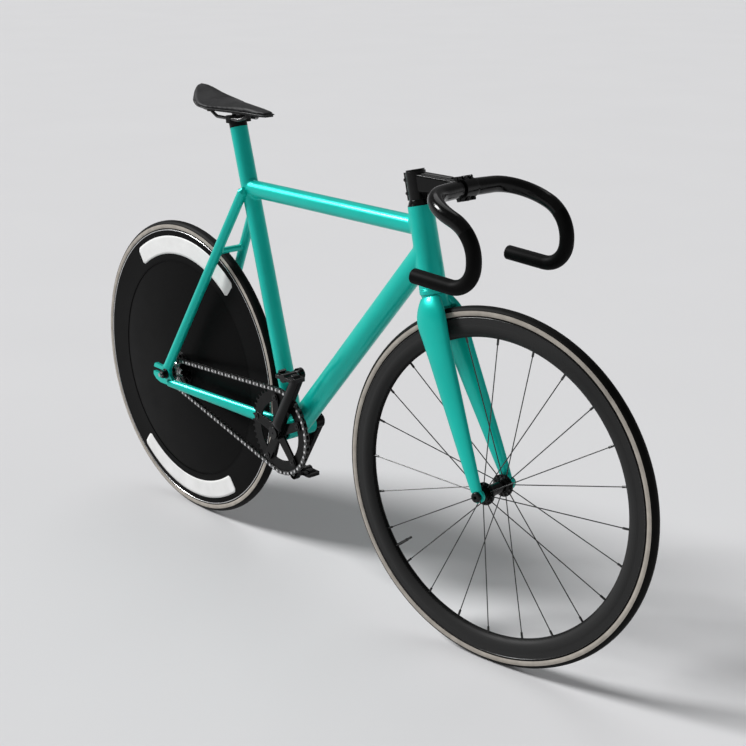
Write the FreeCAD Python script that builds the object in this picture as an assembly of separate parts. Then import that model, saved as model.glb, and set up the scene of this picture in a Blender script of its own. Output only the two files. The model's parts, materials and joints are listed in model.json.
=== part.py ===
import FreeCAD, Part
import math
import os

# Track bicycle with a fixed gear, in millimetres. +X points forward, -Y is the drive side and +Z is up.
# The origin is on the ground, midway between the wheel axles, in the plane of the frame.

# Layout
wheelbase = 955.0
tyre_radius = 335.0
bottom_bracket_drop = 33.0
head_angle = 76.6
seat_angle = 74.6
fork_rake = 68.5
steer_at_rest = 9.1
crank_angle_at_rest = 60.0

# Fits shared by all pieces
running_clearance = 0.05
seat_clearance = 0.1
soft_clearance = 0.4
cut_overrun = 4.0
neighbour_gap = 0.5

# Frame tubes. Seat heights are along the seat tube from its foot, head heights along the head tube from its
# low end, and the mast stands above the top tube.
seat_tube_radius = 18.3
seat_tube_wall = 1.8
seat_tube_setback = 6.0
mast_length = 125.1
top_tube_radius = 17.6
top_tube_wall = 1.6
top_tube_seat_height = 497.9
top_tube_head_height = 119.2
down_tube_radius = 24.0
down_tube_wall = 1.7
down_tube_head_height = 77.0
head_tube_gap = 0.8
head_tube_top_margin = 39.0
head_tube_top_radius = 23.2
head_tube_low_radius = 25.2
head_tube_bore = 20.0
bottom_bracket_radius = 21.5
bottom_bracket_width = 70.0
bottom_bracket_bore = 18.0

# Stays and track ends
chain_stay_front_inset = 20.0
chain_stay_front_rise = 2.5
chain_stay_front_spread = 19.0
chain_stay_front_half_width = 7.8
chain_stay_front_half_height = 15.0
chain_stay_rear_reach = 10.0
chain_stay_rear_drop = 19.5
chain_stay_rear_radius = 9.5
seat_stay_top_drop = 5.2
seat_stay_top_spread = 20.0
seat_stay_radius = 10.4
seat_stay_low_reach = 5.0
seat_stay_low_rise = 16.0
stay_wall = 1.4
stay_tip_length = 8.0
stay_tip_radius = 5.0
bridge_radius = 7.0
bridge_tyre_gap = 9.2
rear_hub_spacing = 120.0
track_end_thickness = 7.0
track_end_slot_length = 48.0
track_end_slot_forward = 6.0
track_end_upper_tine = 10.5
track_end_lower_tine = 17.0
track_end_body_length = 26.0
track_end_body_height = 26.0
track_end_corner = 4.5
track_end_upper_shares = ((-1.0, 0.55), (-0.9, 1.0), (-0.3, 0.9))
track_end_body_shares = ((0.0, 1.0), (0.65, 1.0), (0.55, 0.0))
track_end_foot_shares = ((1.0, -0.55), (1.0, -1.15))
track_end_lower_shares = ((-0.5, -1.2), (-0.85, -1.0), (-1.08, -0.62))

# Rear axle
rear_axle_radius = 5.0
rear_axle_shoulder_radius = 8.0
rear_axle_shoulder_length = 7.4
rear_axle_thread_end = 1.0
rear_axle_stub = 5.0
rear_axle_stub_radius = 4.3
rear_washer_radius = 11.5
rear_washer_thickness = 2.5
rear_nut_height = 9.0
rear_nut_corner_radius = 9.4
rear_nut_sides = 6

# Chain drive
chain_pitch = 12.7
chain_tyre_room = 55.0
chainring_teeth = 44
cog_teeth = 15
chain_line = 44.5
roller_radius = 3.85
roller_seat_clearance = 0.2
tooth_height = 3.6
tooth_tip_half_width = 1.0
sprocket_thickness = 2.8
chain_inner_half_width = 1.75
chain_plate_thickness = 1.15
chain_plate_gap = 0.15
chain_plate_radius = 4.2
chain_pin_radius = 1.8
chain_pin_overhang = 0.5
chain_pin_clearance = 0.15

# Tyres and rims
tyre_width = 24.0
tyre_wall = 2.2
tyre_bead_angle = 132.0
rim_edge_inset = 7.0
rim_edge_half_width = 11.2
rim_wall = 2.0
rim_bed_depth = 10.0
front_rim_shoulder_depth = 13.0
front_rim_shoulder_half_width = 12.0
front_rim_flank_depth = 30.5
front_rim_flank_half_width = 8.8
front_rim_depth = 37.5
rear_rim_depth = 70.0
rear_rim_inner_half_width = 12.6
disc_step = 1.0
disc_skin_thickness = 1.5
disc_mid_radius = 150.0
disc_mid_half_width = 20.0
disc_hub_half_width = 25.5

# Rear hub
rear_flange_radius = 42.0
rear_flange_holes = 8
rear_flange_hole_radius = 6.0
rear_flange_hole_circle = 30.0
rear_flange_thickness = 3.5
rear_hub_radius = 16.0
rear_hub_half_length = 51.0
rear_hub_bore = 6.0
rear_bearing_radius = 13.0
rear_bearing_width = 8.0
cog_seat_radius = 17.3
lockring_seat_radius = 16.2
lockring_radius = 21.0
lockring_width = 4.2
lockring_notch_width = 5.0
lockring_notch_depth = 2.2
lockring_notches = 4

# Front hub and spokes
front_hub_spacing = 86.0
front_axle_radius = 4.5
front_axle_shoulder_radius = 7.5
front_axle_shoulder_length = 6.0
front_bolt_head_radius = 9.5
front_bolt_head_height = 7.0
front_bolt_head_round = 2.3
front_bolt_socket_radius = 3.4
front_bolt_socket_depth = 4.0
front_flange_radius = 21.0
front_flange_thickness = 3.5
front_flange_offset = 28.0
front_hub_radius = 11.0
front_hub_end_radius = 14.0
front_hub_half_length = 36.0
front_hub_bore = 6.0
front_bearing_radius = 11.0
front_bearing_width = 7.0
spoke_count = 24
spoke_first_angle = 0.9
spoke_radius = 1.0
spoke_hole_radius = 17.5
spoke_hole_clearance = 0.3
spoke_head_radius = 1.8
spoke_head_height = 1.0
spoke_rim_offset = 1.5
spoke_rim_depth = 4.5
nipple_radius = 2.1
nipple_length = 18.0
nipple_inner_share = 0.8
valve_radius = 3.0
valve_hole_radius = 3.3
valve_length = 79.0
valve_tip_radius = 2.2
valve_tip_length = 12.0
valve_angle = 218.4

# Crankset
crank_length = 170.0
spindle_radius = 10.0
spindle_bore = 7.0
bottom_bracket_bearing_width = 9.0
crank_inner_offset = 50.7
crank_arm_thickness = 10.5
crank_boss_radius = 16.0
crank_boss_inner_offset = 37.0
crank_eye_radius = 12.5
crank_arm_root_half_width = 14.5
crank_arm_tip_half_width = 11.5
spider_arms = 5
spider_bolt_radius = 72.0
spider_arm_root_half_width = 11.5
spider_arm_tip_half_width = 9.5
spider_thickness = 4.5
spider_pad_radius = 9.5
chainring_inner_radius = 63.0
chainring_thickness = 3.0
chainring_bolt_radius = 4.0
chainring_bolt_head_radius = 6.0
chainring_bolt_head_height = 1.6
crank_cap_radius = 13.0
crank_cap_height = 2.5

# Pedals
pedal_spindle_radius = 5.0
pedal_spindle_collar_radius = 8.0
pedal_spindle_collar_length = 5.0
pedal_width = 32.0
pedal_barrel_radius = 9.0
pedal_front_reach = 35.0
pedal_rear_reach = 25.0
pedal_thickness = 15.0
pedal_platform_thickness = 7.0
pedal_corner = 5.0
pedal_end_wall = 5.0
pedal_hook_inset = 5.0
pedal_hook_root = 5.0
pedal_hook_reach = 10.0
pedal_clip_width = 16.0
pedal_clip_room = 12.0
pedal_clip_thickness = 6.0
pedal_clip_pin_radius = 2.0
pedal_clip_lip = 5.0
pedal_clip_ear = 3.0

# Fork
steerer_radius = 14.3
steerer_bore = 11.5
headset_bearing_height = 8.0
crown_rise = 26.0
crown_depth = 33.0
crown_top_radius = 23.8
crown_shoulder_drop = 15.0
crown_shoulder_half_length = 23.5
crown_shoulder_half_width = 23.0
crown_low_half_length = 24.0
crown_low_half_width = 27.0
tyre_tunnel_clearance = 5.0
tyre_tunnel_half_width = 17.5
blade_top_drop = 3.0
blade_tip_margin = 3.2
blade_setback = 1.3
blade_station_shares = (0.0, 0.05, 0.10, 0.17, 0.25, 0.40, 0.60, 0.80, 0.975)
blade_half_chords = (20.5, 28.5, 33.0, 31.6, 28.8, 25.4, 21.0, 16.4, 11.8)
blade_half_widths = (11.5, 13.0, 12.2, 11.4, 11.0, 10.2, 8.9, 7.4, 5.8)
blade_spread_shares = (0.249, 0.433, 0.552, 0.626, 0.671, 0.740, 0.835, 0.931, 1.0)
blade_sections = 15
fork_tip_radius = 12.5
fork_tip_thickness = 6.5
fork_slot_clearance = 0.15

# Stem
headset_cover_height = 11.0
stem_clamp_height = 50.0
stem_clamp_radius = 18.6
stem_beam_half_width = 14.5
stem_beam_rear_inset = 1.5
stem_beam_low_inset = 13.0
stem_beam_front_half_height = 14.0
stem_beam_corner = 6.0
bar_clamp_forward = 103.2
bar_clamp_rise = 7.6
bar_clamp_radius = 19.5
bar_clamp_half_width = 15.5
faceplate_gap = 2.0
stem_lug_depth = 9.0
stem_lug_offset = 18.7
stem_lug_height = 6.0
stem_bolt_spread = 9.5
stem_bolt_radius = 2.2
stem_bolt_head_radius = 3.2
stem_bolt_head_height = 3.0
pinch_ear_reach = 20.0
pinch_ear_half_width = 9.0
pinch_slit = 2.0
pinch_bolt_back = 17.0
pinch_bolt_inset = 13.0
top_cap_radius = 17.0
top_cap_height = 3.0
headset_cover_top_radius = 18.6

# Handlebar and grips, in the plane of the frame before steering
bar_radius = 12.0
bar_wall = 2.0
bar_centre_radius = 15.9
bar_centre_half_width = 26.0
bar_arm_overlap = 4.0
bar_arm_step = 0.4
bar_half_width = 136.5
bar_bend_forward = 15.6
bar_ramp_reach = 128.4
bar_ramp_drop = 44.9
bar_hook_reach = 124.3
bar_drop = 141.8
bar_end_reach = 5.6
bar_end_drop = 132.2
bar_bend_radius = 74.4
bar_hook_radius = 71.0
bar_heel_radius = 42.0
grip_radius = 13.2
grip_end_thickness = 5.0
grip_end_round = 3.0
grip_start_share = 0.35

# Seat
cap_plug_length = 45.0
cap_neck_length = 10.0
rail_radius = 3.5
rail_spread = 22.0
rail_rise = 18.9
rail_low_front = 36.0
rail_low_rear = 44.0
rail_front_spread = 10.0
rail_front_share = 0.74
rail_rear_share = 0.27
rail_end_depth = 3.0
rail_bend_radius = 18.0
cradle_length = 18.0
cradle_half_width = 26.5
cradle_depth = 9.0
clamp_plate_thickness = 5.5
clamp_bolt_radius = 2.5
clamp_bolt_head_radius = 4.6
clamp_bolt_head_height = 3.0
clamp_bolt_offset = 10.0
saddle_length = 244.0
saddle_tail_back = 134.0
saddle_station_shares = (0.0, 0.05, 0.16, 0.32, 0.47, 0.62, 0.78, 0.92, 0.98, 1.0)
saddle_half_widths = (14.0, 26.5, 42.0, 52.0, 41.0, 28.0, 18.0, 15.5, 12.0, 7.0)
saddle_top_heights = (58.0, 57.0, 46.2, 34.2, 32.0, 31.5, 29.5, 25.5, 23.0, 21.0)
saddle_edge_heights = (32.5, 28.0, 21.6, 18.2, 16.8, 16.0, 15.0, 15.0, 15.4, 16.2)
saddle_foot_width_share = 0.90
saddle_brow_width_share = 0.86
saddle_brow_rise_share = 0.53
saddle_bulge_rise_share = 0.30
saddle_shell_width_share = 0.82
saddle_shell_thickness = 3.5
saddle_rail_boss_radius = 6.5
saddle_rail_boss_drop = 4.0

V = FreeCAD.Vector
Y_AXIS = V(0, 1, 0)
Z_AXIS = V(0, 0, 1)
FULL_TURN = 360.0
EDGE_ALIGNMENT = 0.99
SIDES = {"right": -1, "left": 1}


# Shape helpers

def unit(vector):
    result = V(vector)
    result.normalize()
    return result


def rod(start, end, radius):
    """Round bar from one point to another."""
    return Part.makeCylinder(radius, (end - start).Length, start, end - start)


def taper(start, end, start_radius, end_radius):
    """Round bar whose radius changes along its length."""
    return Part.makeCone(start_radius, end_radius, (end - start).Length, start, end - start)


def barrel(centre, axis, radius, low, high):
    """Cylinder on an axis through centre, between two places along it."""
    return rod(centre + axis * low, centre + axis * high, radius)


def ring(centre, axis, outer, inner, low, high):
    """Round ring on an axis through centre, between two places along it."""
    hole = barrel(centre, axis, inner, low - cut_overrun, high + cut_overrun)
    return barrel(centre, axis, outer, low, high).cut(hole)


def hollow(start, end, radius, wall):
    """Tube open at both ends."""
    along = unit(end - start) * cut_overrun
    return rod(start, end, radius).cut(rod(start - along, end + along, radius - wall))


def polygon(points):
    """Flat face with straight edges."""
    return Part.Face(Part.makePolygon(points + [points[0]]))


def turned(centre, outline):
    """Solid of revolution about the Y line through centre, from pairs of radius and place along Y."""
    corners = [centre + V(radius, along, 0) for radius, along in outline]
    return polygon(corners).revolve(centre, Y_AXIS, FULL_TURN)


def turned_edges(centre, edges):
    """Solid of revolution about the Y line through centre, from the edges of its section."""
    return Part.Face(Part.Wire(edges)).revolve(centre, Y_AXIS, FULL_TURN)


def line(start, end):
    return Part.LineSegment(start, end).toShape()


def arc(start, middle, end):
    return Part.Arc(start, middle, end).toShape()


def block(centre, x_axis, y_axis, half_x, half_y, low, high):
    """Box on its own axes, between two places along the third axis."""
    z_axis = x_axis.cross(y_axis)
    corners = []
    for x_sign, y_sign in ((-1, -1), (1, -1), (1, 1), (-1, 1)):
        corners.append(centre + x_axis * (half_x * x_sign) + y_axis * (half_y * y_sign) + z_axis * low)
    return polygon(corners).extrude(z_axis * (high - low))


def plate(points, low, high):
    """Flat plate with an outline in X and Z, between two places along Y."""
    corners = [V(point.x, low, point.z) for point in points]
    return polygon(corners).extrude(Y_AXIS * (high - low))


def rounded(solid, direction, radius):
    """Rounds the straight edges of a solid that run along one direction."""
    straight = [edge for edge in solid.Edges if isinstance(edge.Curve, Part.Line)]
    edges = []
    for edge in straight:
        if abs(edge.tangentAt(edge.FirstParameter).dot(direction)) > EDGE_ALIGNMENT:
            edges.append(edge)
    return solid.makeFillet(radius, edges)


def ellipse_wire(centre, major, minor):
    """Closed ellipse from its centre and its two half axes as vectors."""
    if minor.Length > major.Length:
        major, minor = minor, major
    return Part.Wire(Part.Ellipse(centre + major, centre + minor, centre).toShape())


def bent_path(points, radii):
    """Straight runs joined by tangent arcs, as a list of edges; each inner point has its own radius."""
    edges = []
    start = points[0]
    for index in range(1, len(points) - 1):
        corner = points[index]
        back = unit(points[index - 1] - corner)
        ahead = unit(points[index + 1] - corner)
        half_angle = back.getAngle(ahead) / 2
        reach = radii[index - 1] / math.tan(half_angle)
        entry = corner + back * reach
        leave = corner + ahead * reach
        bisector = unit(back + ahead)
        middle = corner + bisector * (radii[index - 1] / math.sin(half_angle) - radii[index - 1])
        edges.append(line(start, entry))
        edges.append(arc(entry, middle, leave))
        start = leave
    edges.append(line(start, points[-1]))
    return edges


def swept(edges, radius):
    """Round bar along a path of edges."""
    first = edges[0]
    start = first.valueAt(first.FirstParameter)
    tangent = first.tangentAt(first.FirstParameter)
    section = Part.Wire(Part.Circle(start, tangent, radius).toShape())
    return Part.Wire(edges).makePipeShell([section], True, False)


def narrowed(edges, start_radius, end_radius):
    """Round bar along a path of edges, whose radius changes from one end to the other."""
    sections = []
    for edge, place, radius in ((edges[0], edges[0].FirstParameter, start_radius),
                                (edges[-1], edges[-1].LastParameter, end_radius)):
        circle = Part.Circle(edge.valueAt(place), edge.tangentAt(place), radius)
        sections.append(Part.Wire(circle.toShape()))
    return Part.Wire(edges).makePipeShell(sections, True, False)


def mirrored(solid):
    """The same solid on the other side of the frame's plane."""
    return solid.mirror(V(0, 0, 0), Y_AXIS)


def joined(solids):
    """One solid from several that meet."""
    result = solids[0].multiFuse(solids[1:])
    return result.removeSplitter()


# Places that the whole bicycle shares

def chain_centre_distance():
    """Distance between sprocket centres at which the chain's links just close the loop."""
    ring_reach = chain_pitch * chainring_teeth / (2 * math.pi)
    cog_reach = chain_pitch * cog_teeth / (2 * math.pi)
    step = pitch_radius(chainring_teeth) - pitch_radius(cog_teeth)
    distance = tyre_radius + chain_tyre_room
    for _ in range(40):
        lean = math.asin(step / distance)
        wrapped = ring_reach * (math.pi + 2 * lean) + cog_reach * (math.pi - 2 * lean)
        distance = (chain_links * chain_pitch - wrapped) / (2 * math.cos(lean))
    return distance


def pitch_radius(teeth):
    return chain_pitch / (2 * math.sin(math.pi / teeth))


def chain_link_count():
    """Smallest even number of links whose loop leaves the rear tyre its room behind the bottom bracket."""
    distance = tyre_radius + chain_tyre_room
    step = (chainring_teeth - cog_teeth) / (2 * math.pi)
    straight = 2 * distance / chain_pitch + step ** 2 * chain_pitch / distance
    links = straight + (chainring_teeth + cog_teeth) / 2
    return 2 * math.ceil(links / 2)


chain_links = chain_link_count()
chain_centre = chain_centre_distance()
rear_axle = V(-wheelbase / 2, 0, tyre_radius)
front_axle = V(wheelbase / 2, 0, tyre_radius)
chain_reach = math.sqrt(chain_centre ** 2 - bottom_bracket_drop ** 2)
bottom_bracket = rear_axle + V(chain_reach, 0, -bottom_bracket_drop)

head_lean = math.radians(head_angle)
head_up = V(-math.cos(head_lean), 0, math.sin(head_lean))
head_forward = V(math.sin(head_lean), 0, math.cos(head_lean))
steering_foot = front_axle - head_forward * fork_rake

seat_lean = math.radians(seat_angle)
seat_up = V(-math.cos(seat_lean), 0, math.sin(seat_lean))
seat_foot = bottom_bracket - V(seat_tube_setback, 0, 0)
mast_top = seat_foot + seat_up * (top_tube_seat_height + mast_length)
rail_height = mast_top.z + rail_rise

crown_top = tyre_radius + crown_rise
crown_shoulder = crown_top - crown_shoulder_drop
crown_low = crown_top - crown_depth
blade_top = crown_top - blade_top_drop
head_tube_start = crown_top + head_tube_gap
head_tube_length = top_tube_head_height + head_tube_top_margin
stem_clamp_low = head_tube_start + head_tube_length + headset_cover_height
bar_clamp_along = stem_clamp_low + bar_clamp_rise

rim_edge_radius = tyre_radius - tyre_width / 2 - rim_edge_inset
rim_bed_radius = rim_edge_radius - rim_bed_depth
front_rim_shoulder_radius = rim_edge_radius - front_rim_shoulder_depth
front_rim_flank_radius = rim_edge_radius - front_rim_flank_depth
front_rim_nose_radius = rim_edge_radius - front_rim_depth
rear_rim_inner_radius = rim_edge_radius - rear_rim_depth
spoke_end_radius = front_rim_nose_radius + spoke_rim_depth


def on_head_axis(height):
    """Point of the steering axis at a height along the head tube."""
    return steering_foot + head_up * (head_tube_start + height)


def on_seat_axis(height):
    """Point of the seat tube's axis at a height along it."""
    return seat_foot + seat_up * height


def steering_point(forward, side, along):
    """Point by its distances ahead of, beside and along the steering axis."""
    return steering_foot + head_forward * forward + Y_AXIS * side + head_up * along


# Frame

def frame_outlines():
    """The main tubes as full bars, which mitre their neighbours."""
    head_low = steering_foot + head_up * head_tube_start
    head_top = head_low + head_up * head_tube_length
    shell_half = bottom_bracket_width / 2
    return {
        "head": taper(head_low, head_top, head_tube_low_radius, head_tube_top_radius),
        "seat": rod(seat_foot, mast_top, seat_tube_radius),
        "down": rod(bottom_bracket, on_head_axis(down_tube_head_height), down_tube_radius),
        "top": rod(on_seat_axis(top_tube_seat_height), on_head_axis(top_tube_head_height), top_tube_radius),
        "shell": barrel(bottom_bracket, Y_AXIS, bottom_bracket_radius, -shell_half, shell_half),
    }


def biggest(shape):
    """The largest solid of a shape, without the offcuts of a mitre."""
    return max(shape.Solids, key=lambda solid: solid.Volume)


def make_main_tubes(outlines):
    head = outlines["head"]
    bore = barrel(steering_foot, head_up, head_tube_bore, head_tube_start - cut_overrun,
                  head_tube_start + head_tube_length + cut_overrun)
    shell_half = bottom_bracket_width / 2
    seat = hollow(seat_foot, mast_top, seat_tube_radius, seat_tube_wall).cut(outlines["shell"])
    down_end = on_head_axis(down_tube_head_height)
    down = hollow(bottom_bracket, down_end, down_tube_radius, down_tube_wall)
    down = down.cut(outlines["shell"]).cut(head).cut(outlines["seat"])
    top_start = on_seat_axis(top_tube_seat_height)
    top = hollow(top_start, on_head_axis(top_tube_head_height), top_tube_radius, top_tube_wall)
    top = top.cut(outlines["seat"]).cut(head).cut(outlines["down"])
    return {
        "head_tube": head.cut(bore),
        "seat_tube": biggest(seat),
        "down_tube": biggest(down),
        "top_tube": biggest(top),
        "bottom_bracket_shell": ring(bottom_bracket, Y_AXIS, bottom_bracket_radius, bottom_bracket_bore,
                                     -shell_half, shell_half),
    }


track_end_inner = rear_hub_spacing / 2
track_end_outer = track_end_inner + track_end_thickness
track_end_middle = (track_end_inner + track_end_outer) / 2


def make_track_end(side):
    """Flat plate with a slot that opens to the rear, between the stays."""
    slot_half = rear_axle_radius + seat_clearance
    back = track_end_slot_length
    upper = slot_half + track_end_upper_tine
    lower = slot_half + track_end_lower_tine
    front = track_end_body_length
    rise = track_end_body_height
    points = []
    groups = ((back, upper, track_end_upper_shares), (front, rise, track_end_body_shares),
              (front, lower, track_end_foot_shares), (back, lower, track_end_lower_shares))
    for length, height, shares in groups:
        for along, up in shares:
            points.append(rear_axle + V(length * along, 0, height * up))
    low = side * track_end_inner if side > 0 else side * track_end_outer
    solid = plate(points, low, low + track_end_thickness)
    solid = rounded(solid, Y_AXIS, track_end_corner)
    head = rear_axle + V(track_end_slot_forward, 0, 0)
    slot = [V(-back * 2, 0, -slot_half), V(0, 0, -slot_half), V(0, 0, slot_half), V(-back * 2, 0, slot_half)]
    slot = [head + point for point in slot]
    solid = solid.cut(plate(slot, low - cut_overrun, low + track_end_thickness + cut_overrun))
    end = barrel(head, Y_AXIS, slot_half, low - cut_overrun, low + track_end_thickness + cut_overrun)
    return solid.cut(end)


def make_chain_stay(side, outlines, track_end):
    """Stay that is flattened beside the tyre and round at the track end."""
    front = bottom_bracket + V(-chain_stay_front_inset, side * chain_stay_front_spread, chain_stay_front_rise)
    rear = rear_axle + V(chain_stay_rear_reach, side * track_end_middle, -chain_stay_rear_drop)
    across = unit((rear - front).cross(Z_AXIS))
    upward = unit(across.cross(rear - front))
    tip = rear + unit(rear - front) * stay_tip_length

    def section(centre, half_height, half_width):
        return ellipse_wire(centre, upward * half_height, across * half_width)

    def body(wall):
        radius = chain_stay_rear_radius - wall
        return [section(front, chain_stay_front_half_height - wall, chain_stay_front_half_width - wall),
                section(rear, radius, radius - running_clearance)]

    end = section(tip, stay_tip_radius, stay_tip_radius - running_clearance)
    stay = Part.makeLoft(body(0) + [end], True, True).cut(Part.makeLoft(body(stay_wall), True, True))
    return biggest(stay.cut(outlines["shell"]).cut(outlines["seat"]).cut(track_end))


def seat_stay_ends(side):
    """Ends of a seat stay's axis, beside the seat tube and at the track end."""
    top = on_seat_axis(top_tube_seat_height - seat_stay_top_drop) + Y_AXIS * (side * seat_stay_top_spread)
    return top, rear_axle + V(seat_stay_low_reach, side * track_end_middle, seat_stay_low_rise)


def bridge_end(side):
    """Point on a seat stay's axis that is clear of the tyre."""
    top, low = seat_stay_ends(side)
    along = low - top
    away = V(top.x - rear_axle.x, 0, top.z - rear_axle.z)
    clear = tyre_radius + bridge_tyre_gap + bridge_radius
    flat = along.x ** 2 + along.z ** 2
    lean = along.x * away.x + along.z * away.z
    share = (-lean - math.sqrt(lean ** 2 - flat * (away.Length ** 2 - clear ** 2))) / flat
    return top + along * share


def make_seat_stay(side, outlines, track_end):
    """Straight round stay from the side of the seat tube to the track end."""
    start, end = seat_stay_ends(side)
    outline = rod(start, end, seat_stay_radius)
    tip = start + unit(start - end) * stay_tip_length
    stay = outline.fuse(taper(start, tip, seat_stay_radius, stay_tip_radius))
    stay = stay.cut(rod(start, end + (end - start), seat_stay_radius - stay_wall))
    return biggest(stay.cut(outlines["seat"]).cut(outlines["top"]).cut(track_end)), outline


def make_rear_triangle(outlines):
    nodes = {}
    stay_outlines = []
    bridge_ends = []
    for name, side in SIDES.items():
        track_end = make_track_end(side)
        nodes["track_end_" + name] = track_end
        nodes["chain_stay_" + name] = make_chain_stay(side, outlines, track_end)
        nodes["seat_stay_" + name], outline = make_seat_stay(side, outlines, track_end)
        stay_outlines.append(outline)
        bridge_ends.append(bridge_end(side))
    bridge = rod(bridge_ends[0], bridge_ends[1], bridge_radius)
    for outline in stay_outlines:
        bridge = bridge.cut(outline)
    nodes["seat_stay_bridge"] = biggest(bridge)
    return nodes


# Seat

def rail_end(share, side_offset):
    """End of a rail in its boss under the saddle's base, at a share of the saddle's length."""
    index = next(place for place, value in enumerate(saddle_station_shares) if value > share)
    before, after = saddle_station_shares[index - 1], saddle_station_shares[index]
    part = (share - before) / (after - before)
    edge = rail_height + saddle_edge_heights[index - 1] * (1 - part) + saddle_edge_heights[index] * part
    along = mast_top.x - saddle_tail_back + saddle_length * share
    return V(along, side_offset, edge - soft_clearance - saddle_shell_thickness - rail_end_depth)


def rail_path(side):
    """Centre line of one saddle rail, from its socket in the nose to its socket under the tail."""
    middle = V(mast_top.x, side * rail_spread, rail_height)
    front = rail_end(rail_front_share, side * rail_front_spread)
    rear = rail_end(rail_rear_share, side * rail_spread)
    points = [front, middle + V(rail_low_front, 0, 0), middle - V(rail_low_rear, 0, 0), rear]
    return bent_path(points, [rail_bend_radius, rail_bend_radius])


def saddle_sections():
    """Closed sections across the saddle: a flat underside, bulged sides and a crowned top."""
    tail = V(mast_top.x - saddle_tail_back, 0, 0)
    wires = []
    for index, share in enumerate(saddle_station_shares):
        place = tail + V(saddle_length * share, 0, 0)
        half = saddle_half_widths[index]
        edge = rail_height + saddle_edge_heights[index]
        top = rail_height + saddle_top_heights[index]
        rise = top - edge
        foot = V(0, half * saddle_foot_width_share, edge)
        bulge = V(0, half, edge + rise * saddle_bulge_rise_share)
        brow = V(0, half * saddle_brow_width_share, edge + rise * saddle_brow_rise_share)
        left = [place + point for point in (foot, bulge, brow)]
        right = [place + V(0, -point.y, point.z) for point in (brow, bulge, foot)]
        edges = [
            line(right[2], left[0]),
            arc(left[0], left[1], left[2]),
            arc(left[2], place + V(0, 0, top), right[0]),
            arc(right[0], right[1], right[2]),
        ]
        wires.append(Part.Wire(edges))
    return wires


def shell_sections():
    """Flat sections of the saddle's base, just under the cushion."""
    tail = V(mast_top.x - saddle_tail_back, 0, 0)
    wires = []
    for index, share in enumerate(saddle_station_shares):
        place = tail + V(saddle_length * share, 0, 0)
        half = saddle_half_widths[index] * saddle_shell_width_share
        high = rail_height + saddle_edge_heights[index] - soft_clearance
        low = high - saddle_shell_thickness
        corners = [V(0, -half, low), V(0, half, low), V(0, half, high), V(0, -half, high)]
        corners = [place + corner for corner in corners]
        wires.append(Part.makePolygon(corners + [corners[0]]))
    return wires


def make_seat():
    rails = [swept(rail_path(side), rail_radius) for side in SIDES.values()]
    shell = Part.makeLoft(shell_sections(), True, True)
    bosses = []
    for side in SIDES.values():
        path = rail_path(side)
        for edge, parameter in ((path[0], path[0].FirstParameter), (path[-1], path[-1].LastParameter)):
            end = edge.valueAt(parameter)
            bosses.append(barrel(end, Z_AXIS, saddle_rail_boss_radius, -saddle_rail_boss_drop,
                                 rail_end_depth + saddle_shell_thickness / 2))
    cushion = Part.makeLoft(saddle_sections(), True, True)
    base = joined([shell] + bosses).cut(cushion)
    rail_room = [swept(rail_path(side), rail_radius + seat_clearance) for side in SIDES.values()]
    for room in rail_room:
        base = base.cut(room)
    cap_top = mast_top + seat_up * cap_neck_length
    plug = barrel(mast_top, seat_up, seat_tube_radius - seat_tube_wall - seat_clearance, -cap_plug_length, 0)
    neck = rod(mast_top, cap_top, seat_tube_radius)
    middle = V(mast_top.x, 0, rail_height)
    cradle = block(middle, V(1, 0, 0), Y_AXIS, cradle_length / 2, cradle_half_width, -cradle_depth, 0)
    cradle = rounded(cradle, Z_AXIS, rail_radius)
    cap = joined([plug, neck, cradle])
    clamp = block(middle, V(1, 0, 0), Y_AXIS, cradle_length / 2, cradle_half_width, neighbour_gap,
                  clamp_plate_thickness)
    clamp = rounded(clamp, Z_AXIS, rail_radius)
    bolts = []
    for sign in (-1, 1):
        place = middle + Y_AXIS * (sign * clamp_bolt_offset)
        shank = barrel(place, Z_AXIS, clamp_bolt_radius, -cradle_depth, clamp_plate_thickness)
        head = barrel(place, Z_AXIS, clamp_bolt_head_radius, clamp_plate_thickness,
                      clamp_plate_thickness + clamp_bolt_head_height)
        bolts.append(joined([shank, head]))
        hole = barrel(place, Z_AXIS, clamp_bolt_radius + seat_clearance, -cradle_depth, clamp_plate_thickness)
        cap = cap.cut(hole)
        clamp = clamp.cut(hole)
    for room in rail_room:
        cap = cap.cut(room)
        clamp = clamp.cut(room)
    return {
        "saddle_cushion": cushion,
        "saddle_shell": biggest(base),
        "saddle_rails": Part.makeCompound(rails),
        "saddle_clamp": biggest(clamp),
        "saddle_clamp_bolts": Part.makeCompound(bolts),
        "seat_mast_cap": biggest(cap),
    }


# Chain drive

chain_along = unit(bottom_bracket - rear_axle)
chain_across = V(-chain_along.z, 0, chain_along.x)
chain_plane = V(0, -chain_line, 0)
chain_lean = math.asin((pitch_radius(chainring_teeth) - pitch_radius(cog_teeth)) / chain_centre)


def chain_direction(angle):
    """Direction in the chain's plane, by its angle from the line between the sprockets."""
    return chain_along * math.cos(angle) + chain_across * math.sin(angle)


def chain_stretches():
    """The four stretches of the loop: upper run, round the cog, lower run, round the chainring."""
    run = chain_centre * math.cos(chain_lean)
    cog_wrap = chain_pitch * cog_teeth / (2 * math.pi) * (math.pi - 2 * chain_lean)
    ring_wrap = chain_pitch * chainring_teeth / (2 * math.pi) * (math.pi + 2 * chain_lean)
    return run, cog_wrap, run, ring_wrap


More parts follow.
